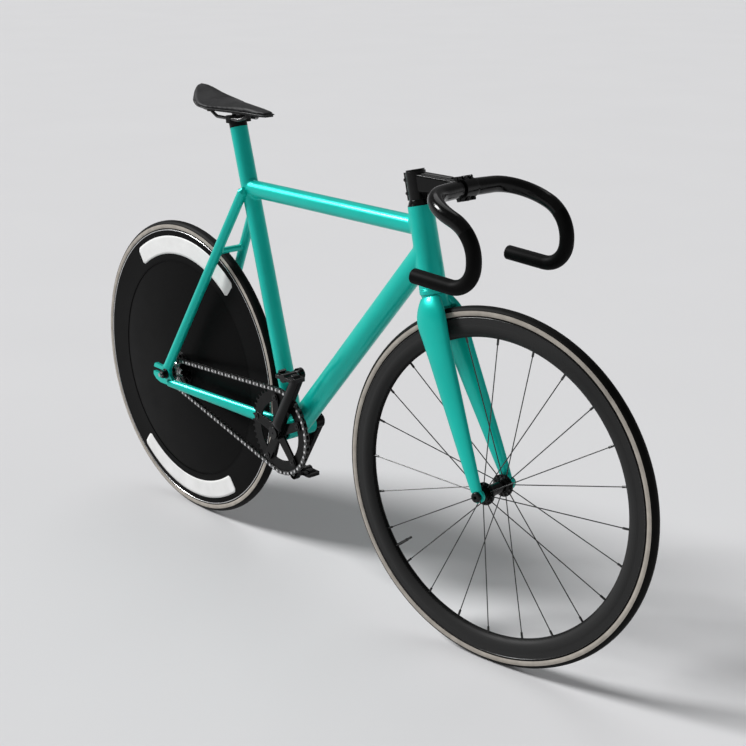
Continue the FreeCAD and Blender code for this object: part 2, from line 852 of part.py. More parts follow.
def chain_point(distance):
    """Place of a pin at a distance along the loop, which starts where the upper run leaves the chainring."""
    run, cog_wrap, _, ring_wrap = chain_stretches()
    distance %= 2 * run + cog_wrap + ring_wrap
    upper = math.pi / 2 + chain_lean
    lower = 3 * math.pi / 2 - chain_lean
    ring_centre = bottom_bracket + chain_plane
    cog_centre = rear_axle + chain_plane
    if distance < run:
        start = ring_centre + chain_direction(upper) * pitch_radius(chainring_teeth)
        end = cog_centre + chain_direction(upper) * pitch_radius(cog_teeth)
        return start + (end - start) * (distance / run)
    distance -= run
    if distance < cog_wrap:
        angle = upper + distance * 2 * math.pi / (chain_pitch * cog_teeth)
        return cog_centre + chain_direction(angle) * pitch_radius(cog_teeth)
    distance -= cog_wrap
    if distance < run:
        start = cog_centre + chain_direction(lower) * pitch_radius(cog_teeth)
        end = ring_centre + chain_direction(lower) * pitch_radius(chainring_teeth)
        return start + (end - start) * (distance / run)
    distance -= run
    angle = lower + distance * 2 * math.pi / (chain_pitch * chainring_teeth)
    return ring_centre + chain_direction(angle) * pitch_radius(chainring_teeth)


def chain_start():
    """Distance along the loop at which the first pin lies, where the lower run reaches the chainring."""
    run, cog_wrap, _, _ = chain_stretches()
    return 2 * run + cog_wrap


def cog_phase():
    """Angle of one of the cog's tooth gaps, under the first pin that lies on it."""
    run = chain_stretches()[0]
    loop = chain_links * chain_pitch
    past_ring = loop - chain_start()
    pins = math.ceil((past_ring + run) / chain_pitch)
    onto_cog = pins * chain_pitch - past_ring - run
    return math.pi / 2 + chain_lean + onto_cog * 2 * math.pi / (chain_pitch * cog_teeth)


def stadium(half_thickness_low, half_thickness_high):
    """One chain plate with round ends, between two places along Y."""
    low = half_thickness_low
    radius = chain_plate_radius
    left = V(0, low, 0)
    right = V(chain_pitch, low, 0)
    edges = [
        arc(left + V(0, 0, radius), left - V(radius, 0, 0), left - V(0, 0, radius)),
        line(left - V(0, 0, radius), right - V(0, 0, radius)),
        arc(right - V(0, 0, radius), right + V(radius, 0, 0), right + V(0, 0, radius)),
        line(right + V(0, 0, radius), left + V(0, 0, radius)),
    ]
    return Part.Face(Part.Wire(edges)).extrude(Y_AXIS * (half_thickness_high - low))


def make_chain():
    """Inner links with rollers and outer links with pins, by turns, round the loop."""
    inner_low = chain_inner_half_width
    inner_high = inner_low + chain_plate_thickness
    outer_low = inner_high + chain_plate_gap
    outer_high = outer_low + chain_plate_thickness
    ends = [V(0, 0, 0), V(chain_pitch, 0, 0)]
    rollers = [barrel(end, Y_AXIS, roller_radius, -inner_low, inner_low) for end in ends]
    inner = joined([stadium(inner_low, inner_high), stadium(-inner_high, -inner_low)] + rollers)
    pins = []
    for end in ends:
        hole_radius = chain_pin_radius + chain_pin_clearance
        inner = inner.cut(barrel(end, Y_AXIS, hole_radius, -outer_high, outer_high))
        pin_half = outer_high + chain_pin_overhang
        pins.append(barrel(end, Y_AXIS, chain_pin_radius, -pin_half, pin_half))
    outer = joined([stadium(outer_low, outer_high), stadium(-outer_high, -outer_low)] + pins)
    links = []
    for index in range(chain_links):
        start = chain_point(chain_start() + index * chain_pitch)
        end = chain_point(chain_start() + (index + 1) * chain_pitch)
        link = (inner if index % 2 == 0 else outer).copy()
        link.Placement = FreeCAD.Placement(start, FreeCAD.Rotation(V(1, 0, 0), end - start))
        links.append(link)
    return {"chain": Part.makeCompound(links)}


def sprocket(centre, teeth, phase):
    """Toothed disc in the chain's plane, with round seats for the rollers and tapered teeth."""
    seat = roller_radius + roller_seat_clearance
    radius = pitch_radius(teeth)
    tip = radius + tooth_height
    half_tooth = math.pi / teeth
    tip_half = tooth_tip_half_width / tip
    middle = centre + chain_plane - Y_AXIS * (sprocket_thickness / 2)
    edges = []
    for index in range(teeth):
        angle = phase + 2 * half_tooth * index
        out = chain_direction(angle)
        side = chain_direction(angle + math.pi / 2)
        gap = middle + out * radius
        before = gap - side * seat
        after = gap + side * seat
        edges.append(arc(before, gap - out * seat, after))
        tip_start = middle + chain_direction(angle + half_tooth - tip_half) * tip
        tip_end = middle + chain_direction(angle + half_tooth + tip_half) * tip
        edges.append(line(after, tip_start))
        edges.append(line(tip_start, tip_end))
        next_angle = angle + 2 * half_tooth
        next_before = middle + chain_direction(next_angle) * radius
        next_before = next_before - chain_direction(next_angle + math.pi / 2) * seat
        edges.append(line(tip_end, next_before))
    return Part.Face(Part.Wire(Part.__sortEdges__(edges))).extrude(Y_AXIS * sprocket_thickness)


# Wheels

def tyre_section_centre():
    return tyre_radius - tyre_width / 2


def make_tyre(axle):
    """Tyre with an open inner side, where its beads sit on the rim."""
    middle = axle + V(tyre_section_centre(), 0, 0)
    bead = math.radians(tyre_bead_angle)

    def around(radius, angle):
        return middle + V(radius * math.cos(angle), radius * math.sin(angle), 0)

    outer = tyre_width / 2
    inner = outer - tyre_wall
    edges = [
        arc(around(outer, -bead), around(outer, 0), around(outer, bead)),
        line(around(outer, bead), around(inner, bead)),
        arc(around(inner, bead), around(inner, 0), around(inner, -bead)),
        line(around(inner, -bead), around(outer, -bead)),
    ]
    return turned_edges(axle, edges)


def tyre_room(axle):
    """Full ring of the tyre's section, which hollows the rim's bed."""
    return Part.makeTorus(tyre_section_centre(), tyre_width / 2 + seat_clearance, axle, Y_AXIS)


def front_rim_section(axle, wall, top_radius):
    """Deep rim section with a round nose, or its cavity where a wall is taken off."""
    edge_half = rim_edge_half_width - wall
    shoulder = front_rim_shoulder_half_width - wall
    flank = front_rim_flank_half_width - wall
    nose = axle + V(front_rim_nose_radius + wall, 0, 0)
    low_top = axle + V(top_radius, -edge_half, 0)
    high_top = axle + V(top_radius, edge_half, 0)
    low_shoulder = axle + V(front_rim_shoulder_radius, -shoulder, 0)
    high_shoulder = axle + V(front_rim_shoulder_radius, shoulder, 0)
    low_flank = axle + V(front_rim_flank_radius + wall / 2, -flank, 0)
    high_flank = axle + V(front_rim_flank_radius + wall / 2, flank, 0)
    return [
        line(low_top, low_shoulder),
        arc(low_shoulder, low_flank, nose),
        arc(nose, high_flank, high_shoulder),
        line(high_shoulder, high_top),
        line(high_top, low_top),
    ]


def wheel_direction(angle):
    return V(math.cos(angle), 0, math.sin(angle))


def spoke_ends(index):
    """Where a spoke leaves its flange and where it ends in the rim."""
    side = 1 if index % 2 else -1
    out = wheel_direction(math.radians(spoke_first_angle) + 2 * math.pi * index / spoke_count)
    clear = front_flange_thickness / 2 + spoke_radius + spoke_hole_clearance
    start = front_axle + out * spoke_hole_radius + Y_AXIS * (side * (front_flange_offset + clear))
    end = front_axle + out * spoke_end_radius + Y_AXIS * (side * spoke_rim_offset)
    return start, end, side


def make_spoke(index):
    """Radial spoke with an elbow through its flange and a head on the inner side."""
    start, end, facing = spoke_ends(index)
    through = front_flange_thickness + 2 * spoke_hole_clearance + spoke_radius
    tail = start - Y_AXIS * (facing * through)
    head = rod(tail, tail - Y_AXIS * (facing * spoke_head_height), spoke_head_radius)
    return joined([rod(start, end, spoke_radius), rod(start, tail, spoke_radius), head,
                   Part.makeSphere(spoke_radius, start)])


def make_front_wheel():
    rim = turned_edges(front_axle, front_rim_section(front_axle, 0, rim_edge_radius))
    cavity = turned_edges(front_axle, front_rim_section(front_axle, rim_wall, rim_bed_radius))
    rim = rim.cut(cavity).cut(tyre_room(front_axle))
    spokes = []
    nipples = []
    holes = []
    flange_holes = []
    for index in range(spoke_count):
        start, end, _ = spoke_ends(index)
        along = unit(end - start)
        inner = nipple_length * nipple_inner_share
        nipple_start = end - along * inner
        nipple_end = nipple_start + along * nipple_length
        spokes.append(make_spoke(index))
        bore = rod(start, end + along * seat_clearance, spoke_radius + seat_clearance)
        nipples.append(rod(nipple_start, nipple_end, nipple_radius).cut(bore))
        holes.append(rod(nipple_start, end + along * nipple_length, nipple_radius + seat_clearance))
        hole = V(start.x, front_axle.y, start.z)
        flange_holes.append(barrel(hole, Y_AXIS, spoke_radius + spoke_hole_clearance, -front_hub_spacing,
                                   front_hub_spacing))
    out = wheel_direction(math.radians(valve_angle))
    valve_start = front_axle + out * (rim_edge_radius - rim_wall)
    valve_low = front_axle + out * (rim_edge_radius - valve_length + valve_tip_length)
    valve_end = front_axle + out * (rim_edge_radius - valve_length)
    valve = joined([rod(valve_start, valve_low, valve_radius), rod(valve_low, valve_end, valve_tip_radius)])
    holes.append(rod(front_axle + out * tyre_section_centre(), valve_end, valve_hole_radius))
    rim = rim.cut(Part.makeCompound(holes))
    flange_in = front_flange_offset - front_flange_thickness / 2
    flange_out = front_flange_offset + front_flange_thickness / 2
    seat = front_hub_half_length - front_bearing_width
    half_outline = [
        (front_hub_radius, flange_in - front_flange_thickness), (front_hub_end_radius, flange_in),
        (front_flange_radius, flange_in), (front_flange_radius, flange_out),
        (front_hub_end_radius, flange_out),
        (front_hub_end_radius, front_hub_half_length), (front_bearing_radius, front_hub_half_length),
        (front_bearing_radius, seat), (front_hub_bore, seat),
    ]
    other_half = [(radius, -along) for radius, along in reversed(half_outline)]
    hub = turned(front_axle, other_half + half_outline).cut(Part.makeCompound(flange_holes))
    bearings = []
    for side in SIDES.values():
        low, high = sorted((side * seat, side * front_hub_half_length))
        bearings.append(ring(front_axle, Y_AXIS, front_bearing_radius - running_clearance,
                             front_axle_radius + running_clearance, low, high))
    return {
        "front_tyre": make_tyre(front_axle),
        "front_rim": biggest(rim),
        "front_spokes": Part.makeCompound(spokes),
        "front_nipples": Part.makeCompound(nipples),
        "front_valve": valve,
        "front_hub": biggest(hub),
        "front_hub_bearings": Part.makeCompound(bearings),
    }


def make_front_axle():
    """Axle with its shoulders, and the two bolts that hold it in the fork."""
    inner = front_hub_spacing / 2
    outer = inner + fork_tip_thickness
    shoulder = inner - front_axle_shoulder_length
    axle = barrel(front_axle, Y_AXIS, front_axle_radius, -outer, outer)
    bolts = []
    collars = []
    for side in SIDES.values():
        low, high = sorted((side * shoulder, side * (inner - seat_clearance)))
        collars.append(barrel(front_axle, Y_AXIS, front_axle_shoulder_radius, low, high))
        face = front_axle + Y_AXIS * (side * (outer + seat_clearance))
        end = face + Y_AXIS * (side * front_bolt_head_height)
        socket = rod(end + Y_AXIS * (side * cut_overrun), end - Y_AXIS * (side * front_bolt_socket_depth),
                     front_bolt_socket_radius)
        head = rod(face, end, front_bolt_head_radius)
        rims = [edge for edge in head.Edges if isinstance(edge.Curve, Part.Circle)]
        outer_rim = max(rims, key=lambda edge: abs(edge.CenterOfMass.y))
        bolts.append(head.makeFillet(front_bolt_head_round, [outer_rim]).cut(socket))
    return {"front_axle": joined([axle] + collars), "front_axle_bolts": Part.makeCompound(bolts)}


def make_rear_wheel():
    edge = rim_edge_half_width
    deep = rear_rim_inner_half_width
    outline = [
        (rim_edge_radius, -edge), (rim_edge_radius, edge), (rear_rim_inner_radius, deep),
        (rear_rim_inner_radius, deep - rim_wall), (rim_bed_radius, edge - rim_wall),
        (rim_bed_radius, -edge + rim_wall), (rear_rim_inner_radius, -deep + rim_wall),
        (rear_rim_inner_radius, -deep),
    ]
    rim = turned(rear_axle, outline).cut(tyre_room(rear_axle))
    skin_edge = rear_rim_inner_radius - seat_clearance
    skin_half = deep - disc_step
    hub_edge = rear_flange_radius + seat_clearance
    skins = []
    for side in SIDES.values():
        def at(radius, half):
            return rear_axle + V(radius, side * half, 0)
        inset = disc_skin_thickness
        hub_half = disc_hub_half_width
        mid_half = disc_mid_half_width
        edges = [
            arc(at(skin_edge, skin_half), at(disc_mid_radius, mid_half), at(hub_edge, hub_half)),
            line(at(hub_edge, hub_half), at(hub_edge, hub_half - inset)),
            arc(at(hub_edge, hub_half - inset), at(disc_mid_radius, mid_half - inset),
                at(skin_edge, skin_half - inset)),
            line(at(skin_edge, skin_half - inset), at(skin_edge, skin_half)),
        ]
        skins.append(turned_edges(rear_axle, edges))
    flange_out = disc_hub_half_width + disc_step
    flange_in = flange_out - rear_flange_thickness
    seat = rear_hub_half_length - rear_bearing_width
    lock_seat = rear_hub_half_length - lockring_width
    hub_outline = [
        (rear_hub_bore, -seat), (rear_bearing_radius, -seat), (rear_bearing_radius, -rear_hub_half_length),
        (lockring_seat_radius, -rear_hub_half_length), (lockring_seat_radius, -lock_seat),
        (cog_seat_radius, -lock_seat), (cog_seat_radius, -flange_out), (rear_flange_radius, -flange_out),
        (rear_flange_radius, -flange_in), (rear_hub_radius, -flange_in), (rear_hub_radius, flange_in),
        (rear_flange_radius, flange_in), (rear_flange_radius, flange_out), (cog_seat_radius, flange_out),
        (cog_seat_radius, rear_hub_half_length), (rear_bearing_radius, rear_hub_half_length),
        (rear_bearing_radius, seat), (rear_hub_bore, seat),
    ]
    hub_holes = []
    for index in range(rear_flange_holes):
        out = wheel_direction(math.pi / 2 + 2 * math.pi * index / rear_flange_holes)
        hub_holes.append(barrel(rear_axle + out * rear_flange_hole_circle, Y_AXIS, rear_flange_hole_radius,
                                -rear_hub_half_length, rear_hub_half_length))
    bearings = []
    for side in SIDES.values():
        low, high = sorted((side * seat, side * rear_hub_half_length))
        bearings.append(ring(rear_axle, Y_AXIS, rear_bearing_radius - running_clearance,
                             rear_axle_radius + running_clearance, low, high))
    cog_hole = barrel(rear_axle, Y_AXIS, cog_seat_radius + seat_clearance, -rear_hub_half_length, 0)
    lockring = ring(rear_axle, Y_AXIS, lockring_radius, lockring_seat_radius + seat_clearance,
                    -rear_hub_half_length, -lock_seat)
    for index in range(lockring_notches):
        out = wheel_direction(2 * math.pi * index / lockring_notches)
        place = rear_axle + out * lockring_radius
        across = Y_AXIS.cross(out)
        notch = block(place, across, out, lockring_notch_width / 2, lockring_notch_depth,
                      lock_seat - cut_overrun, rear_hub_half_length + cut_overrun)
        lockring = lockring.cut(notch)
    return {
        "rear_tyre": make_tyre(rear_axle),
        "rear_rim": biggest(rim),
        "rear_disc_skins": Part.makeCompound(skins),
        "rear_hub": turned(rear_axle, hub_outline).cut(Part.makeCompound(hub_holes)),
        "rear_hub_bearings": Part.makeCompound(bearings),
        "track_cog": sprocket(rear_axle, cog_teeth, cog_phase()).cut(cog_hole),
        "lockring": lockring,
    }


def make_rear_axle():
    """Axle with its shoulders and turned-down ends, and a washer and nut outside each track end."""
    washer_out = track_end_outer + rear_washer_thickness
    nut_out = washer_out + rear_nut_height
    thread_out = nut_out + rear_axle_thread_end
    axle_out = thread_out + rear_axle_stub
    axle = barrel(rear_axle, Y_AXIS, rear_axle_radius, -thread_out, thread_out)
    stubs = barrel(rear_axle, Y_AXIS, rear_axle_stub_radius, -axle_out, axle_out)
    collars = []
    nuts = []
    for side in SIDES.values():
        low, high = sorted((side * (track_end_inner - rear_axle_shoulder_length),
                            side * (track_end_inner - seat_clearance)))
        collars.append(barrel(rear_axle, Y_AXIS, rear_axle_shoulder_radius, low, high))
        corners = []
        for index in range(rear_nut_sides):
            direction = wheel_direction(2 * math.pi * index / rear_nut_sides)
            corners.append(rear_axle + direction * rear_nut_corner_radius + Y_AXIS * (side * washer_out))
        nut = polygon(corners).extrude(Y_AXIS * (side * rear_nut_height))
        low, high = sorted((side * (track_end_outer + seat_clearance), side * washer_out))
        washer = barrel(rear_axle, Y_AXIS, rear_washer_radius, low, high)
        hole = barrel(rear_axle, Y_AXIS, rear_axle_radius + seat_clearance, -axle_out, axle_out)
        nuts.append(joined([nut, washer]).cut(hole))
    return {"rear_axle": joined([axle, stubs] + collars), "rear_axle_nuts": Part.makeCompound(nuts)}


# Crankset and pedals

crank_direction = wheel_direction(math.radians(crank_angle_at_rest))
pedal_face = crank_inner_offset + crank_arm_thickness


def eye_centre(side):
    """Centre of the pedal eye, in the plane of the frame."""
    return bottom_bracket + crank_direction * (crank_length * -side)


def make_arm(side):
    """Crank arm that narrows from its boss to the pedal eye."""
    inner = crank_inner_offset
    outer = pedal_face
    eye = eye_centre(side)
    across = crank_direction.cross(Y_AXIS)
    root = crank_arm_root_half_width
    tip = crank_arm_tip_half_width
    corners = [bottom_bracket + across * root, eye + across * tip, eye - across * tip,
               bottom_bracket - across * root]
    low, high = sorted((side * inner, side * outer))
    arm = plate(corners, low, high)
    boss_low, boss_high = sorted((side * crank_boss_inner_offset, side * outer))
    boss = barrel(bottom_bracket, Y_AXIS, crank_boss_radius, boss_low, boss_high)
    end = barrel(eye, Y_AXIS, crank_eye_radius, low, high)
    solid = joined([arm, boss, end])
    bore = barrel(bottom_bracket, Y_AXIS, spindle_radius + seat_clearance, boss_low - cut_overrun,
                  boss_high + cut_overrun)
    eye_bore = barrel(eye, Y_AXIS, pedal_spindle_radius + seat_clearance, low - cut_overrun,
                      high + cut_overrun)
    return solid.cut(bore).cut(eye_bore)


def spider_direction(index):
    return wheel_direction(math.radians(crank_angle_at_rest) + math.pi * (2 * index + 1) / spider_arms)


def make_crankset():
    ring_inner = chain_line - chainring_thickness / 2
    ring_outer = chain_line + chainring_thickness / 2
    spider_in = ring_outer + seat_clearance
    spider_out = spider_in + spider_thickness
    chainring = sprocket(bottom_bracket, chainring_teeth, 3 * math.pi / 2 - chain_lean)
    window = barrel(bottom_bracket, Y_AXIS, chainring_inner_radius, -ring_outer - cut_overrun,
                    -ring_inner + cut_overrun)
    body = ring(bottom_bracket, Y_AXIS, pitch_radius(chainring_teeth) - chain_plate_radius - neighbour_gap,
                chainring_inner_radius, -ring_outer, -ring_inner)
    chainring = joined([chainring.cut(window), body])
    arms = [make_arm(-1)]
    bolts = []
    bolt_holes = []
    for index in range(spider_arms):
        out = spider_direction(index)
        across = out.cross(Y_AXIS)
        tip = bottom_bracket + out * spider_bolt_radius
        root = spider_arm_root_half_width
        narrow = spider_arm_tip_half_width
        corners = [bottom_bracket + across * root, tip + across * narrow, tip - across * narrow,
                   bottom_bracket - across * root]
        arms.append(plate(corners, -spider_out, -spider_in))
        arms.append(barrel(tip, Y_AXIS, spider_pad_radius, -spider_out, -spider_in))
        for solid_radius, target in ((chainring_bolt_radius + seat_clearance, bolt_holes),
                                     (chainring_bolt_radius, bolts)):
            target.append(barrel(tip, Y_AXIS, solid_radius, -spider_out, -ring_inner))
        head_radius = chainring_bolt_head_radius
        head = barrel(tip, Y_AXIS, head_radius, -spider_out - chainring_bolt_head_height, -spider_out)
        nut = barrel(tip, Y_AXIS, head_radius, -ring_inner, -ring_inner + chainring_bolt_head_height)
        bolts[-1] = joined([bolts[-1], head, nut])
    face_end = -pedal_face - cut_overrun
    spindle_room = barrel(bottom_bracket, Y_AXIS, spindle_radius + seat_clearance, face_end, 0)
    right_arm = joined(arms).cut(Part.makeCompound(bolt_holes)).cut(spindle_room)
    eye_bore = barrel(eye_centre(-1), Y_AXIS, pedal_spindle_radius + seat_clearance, face_end, 0)
    right_arm = right_arm.cut(eye_bore)
    chainring = chainring.cut(Part.makeCompound(bolt_holes))
    for side in SIDES.values():
        cap_end = pedal_face + crank_cap_height
        low, high = sorted((side * (pedal_face + seat_clearance), side * cap_end))
        cap = barrel(bottom_bracket, Y_AXIS, crank_cap_radius, low, high)
        low, high = sorted((side * crank_inner_offset, side * cap_end))
        shank = barrel(bottom_bracket, Y_AXIS, spindle_bore - seat_clearance, low, high)
        bolts.append(joined([cap, shank]))
    spindle = ring(bottom_bracket, Y_AXIS, spindle_radius, spindle_bore, -pedal_face, pedal_face)
    spindles = []
    for side in SIDES.values():
        eye = eye_centre(side)
        collar_in = pedal_face + seat_clearance
        collar_out = pedal_face + pedal_spindle_collar_length
        far = collar_out + pedal_width - pedal_end_wall
        low, high = sorted((side * crank_inner_offset, side * far))
        collar_low, collar_high = sorted((side * collar_in, side * collar_out))
        spindles.append(joined([barrel(eye, Y_AXIS, pedal_spindle_radius, low, high),
                                barrel(eye, Y_AXIS, pedal_spindle_collar_radius, collar_low, collar_high)]))
    return {
        "chainring": biggest(chainring),
        "crank_arm_right": biggest(right_arm),
        "crank_arm_left": make_arm(1),
        "crankset_bolts": Part.makeCompound(bolts),
        "crank_spindle": spindle,
        "pedal_spindles": Part.makeCompound(spindles),
    }


def make_pedal(name, side):
    """Pedal body that turns on its spindle, and the sprung clip that closes behind the shoe's cleat."""
    eye = eye_centre(side)
    inner = pedal_face + pedal_spindle_collar_length + neighbour_gap
    outer = inner + pedal_width
    low, high = sorted((side * inner, side * outer))
    barrel_body = barrel(eye, Y_AXIS, pedal_barrel_radius, low, high)
    half = pedal_platform_thickness / 2
    front = pedal_front_reach
    rear = pedal_rear_reach
    deck = [V(-rear, 0, -half), V(front, 0, -half), V(front, 0, half), V(-rear, 0, half)]
    deck = plate([eye + point for point in deck], low, high)
    deck = rounded(deck, Z_AXIS, pedal_corner)
    lip = half + pedal_clip_lip
    hook_front = front - pedal_hook_inset
    hook_back = hook_front - pedal_hook_root
    hook = [V(hook_back, 0, half), V(hook_front, 0, half), V(hook_back, 0, lip),
            V(hook_back - pedal_hook_reach, 0, lip)]
    middle = side * (inner + pedal_width / 2)
    clip_half = pedal_clip_width / 2
    hook = plate([eye + point for point in hook], middle - clip_half, middle + clip_half)
    body = joined([barrel_body, deck, hook])
    bore_low, bore_high = sorted((side * (inner - cut_overrun), side * (outer - pedal_end_wall)))
    body = body.cut(barrel(eye, Y_AXIS, pedal_spindle_radius + running_clearance, bore_low, bore_high))
    pivot = eye + V(-rear + pedal_clip_thickness, middle, 0)
    room = block(pivot - V(pedal_clip_thickness, 0, 0), V(1, 0, 0), Y_AXIS, pedal_clip_room,
                 clip_half + neighbour_gap, -pedal_thickness, pedal_thickness)
    body = body.cut(room)
    pin_half = clip_half + pedal_clip_ear
    pin_room = barrel(pivot, Y_AXIS, pedal_clip_pin_radius + running_clearance, -pin_half - running_clearance,
                      pin_half + running_clearance)
    body = body.cut(pin_room)
    clip_rear = -pedal_clip_thickness
    clip_front = pedal_clip_thickness / 2
    profile = [V(clip_front, 0, -half), V(clip_front, 0, half), V(clip_rear / 2, 0, half),
               V(clip_front, 0, lip),
               V(clip_rear / 2, 0, lip + half / 2), V(clip_rear, 0, half), V(clip_rear, 0, -half)]
    profile = [V(pivot.x, 0, pivot.z) + point for point in profile]
    clip = plate(profile, middle - clip_half, middle + clip_half)
    clip = joined([clip, barrel(pivot, Y_AXIS, pedal_clip_pin_radius, -pin_half, pin_half)])
    return {"pedal_body_" + name: biggest(body), "pedal_clip_" + name: clip}


# Steering assembly, made straight ahead

def make_bearings():
    """Headset and bottom bracket bearings, which stay with the frame."""
    headset = []
    high_end = head_tube_start + head_tube_length
    for low in (head_tube_start, high_end - headset_bearing_height):
        headset.append(ring(steering_foot, head_up, head_tube_bore - running_clearance,
                            steerer_radius + running_clearance, low, low + headset_bearing_height))
    shell_half = bottom_bracket_width / 2
    bottom = []
    for side in SIDES.values():
        low, high = sorted((side * (shell_half - bottom_bracket_bearing_width), side * shell_half))
        bottom.append(ring(bottom_bracket, Y_AXIS, bottom_bracket_bore - running_clearance,
                           spindle_radius + running_clearance, low, high))
    return {
        "headset_bearings": Part.makeCompound(headset),
        "bottom_bracket_bearings": Part.makeCompound(bottom),
    }


def crown_outline():
    """Crown that spreads from the head tube's width to the two blades."""
    wires = []
    for along, half_length, half_width in (
            (crown_top, crown_top_radius, crown_top_radius - running_clearance),
            (crown_shoulder, crown_shoulder_half_length, crown_shoulder_half_width),
            (crown_low, crown_low_half_length, crown_low_half_width)):
        forward = fork_rake * (crown_top - along) / crown_top
        centre = steering_point(forward, 0, along)
        wires.append([centre, head_forward * half_length, Y_AXIS * half_width])
    sections = []
    for centre, length, width in wires:
        quarter = [centre + width, centre + length, centre - width, centre - length]
        sections.append(oval(centre, quarter))
    return Part.makeLoft(sections, True, False)


def oval(centre, quarter):
    """Closed smooth curve through four points about a centre, which starts at the first of them."""
    curve = Part.BSplineCurve()
    points = []
    for index in range(4):
        start = quarter[index] - centre
        end = quarter[(index + 1) % 4] - centre
        for part in range(4):
            angle = math.pi / 2 * part / 4
            points.append(centre + start * math.cos(angle) + end * math.sin(angle))
    curve.interpolate(points, PeriodicFlag=True)
    return Part.Wire(curve.toShape())


def make_blade(side, crown, tunnel):
    """Straight bladed leg that grows out of the crown's side, with an eared tip for the axle."""
    top = steering_point(fork_rake * (crown_top - blade_top) / crown_top, 0, blade_top)
    direction = unit(front_axle - top)
    chord = unit(Y_AXIS.cross(direction))
    length = (front_axle - top).Length
    tip_spread = front_hub_spacing / 2 + blade_tip_margin
    stations = [V(*sizes) for sizes in zip(blade_half_chords, blade_half_widths, blade_spread_shares)]
    line_of_sizes = Part.BSplineCurve()
    line_of_sizes.interpolate(stations, Parameters=list(blade_station_shares))
    sections = []
    for index in range(blade_sections):
        share = blade_station_shares[-1] * index / (blade_sections - 1)
        half_chord, half_width, spread_share = line_of_sizes.value(share)
        centre = top + direction * (length * share) + chord * blade_setback
        centre += Y_AXIS * (side * tip_spread * spread_share)
        across = Y_AXIS * half_width
        along = chord * half_chord
        sections.append(oval(centre, [centre + across, centre + along, centre - across, centre - along]))
    blade = Part.makeLoft(sections, True, False)
    inner = front_hub_spacing / 2
    outer = inner + fork_tip_thickness
    flat_low, flat_high = sorted((side * (inner - rear_hub_spacing), side * inner))
    blade = blade.cut(barrel(front_axle, Y_AXIS, front_flange_radius, flat_low, flat_high))
    outer_low, outer_high = sorted((side * outer, side * rear_hub_spacing))
    bolt_room = front_bolt_head_radius + neighbour_gap
    blade = blade.cut(barrel(front_axle, Y_AXIS, bolt_room, outer_low, outer_high))
    low, high = sorted((side * inner, side * outer))
    ear = barrel(front_axle, Y_AXIS, fork_tip_radius, low, high)
    blade = joined([blade, ear])
    slot_half = front_axle_radius + fork_slot_clearance
    slot = block(front_axle + direction * fork_tip_radius, direction, chord, fork_tip_radius, slot_half,
                 -rear_hub_spacing, rear_hub_spacing)
    blade = blade.cut(slot)
    blade = blade.cut(barrel(front_axle, Y_AXIS, slot_half, -rear_hub_spacing, rear_hub_spacing))
    return biggest(blade.cut(tunnel).cut(crown))


def make_fork():
    outline = crown_outline()
    tunnel_radius = tyre_radius + tyre_tunnel_clearance
    tunnel = barrel(front_axle, Y_AXIS, tunnel_radius, -tyre_tunnel_half_width, tyre_tunnel_half_width)
    crown = outline.cut(tunnel)
    steerer_top = stem_clamp_low + stem_clamp_height
    steerer = barrel(steering_foot, head_up, steerer_radius, crown_shoulder, steerer_top)
    bore = barrel(steering_foot, head_up, steerer_bore, crown_low - cut_overrun, steerer_top + cut_overrun)
    crown = joined([crown, steerer.cut(tunnel)]).cut(bore)
    nodes = {"fork_crown": biggest(crown)}
    blade = make_blade(SIDES["right"], outline, tunnel)
    nodes["fork_blade_right"] = blade
    nodes["fork_blade_left"] = mirrored(blade)
    return nodes


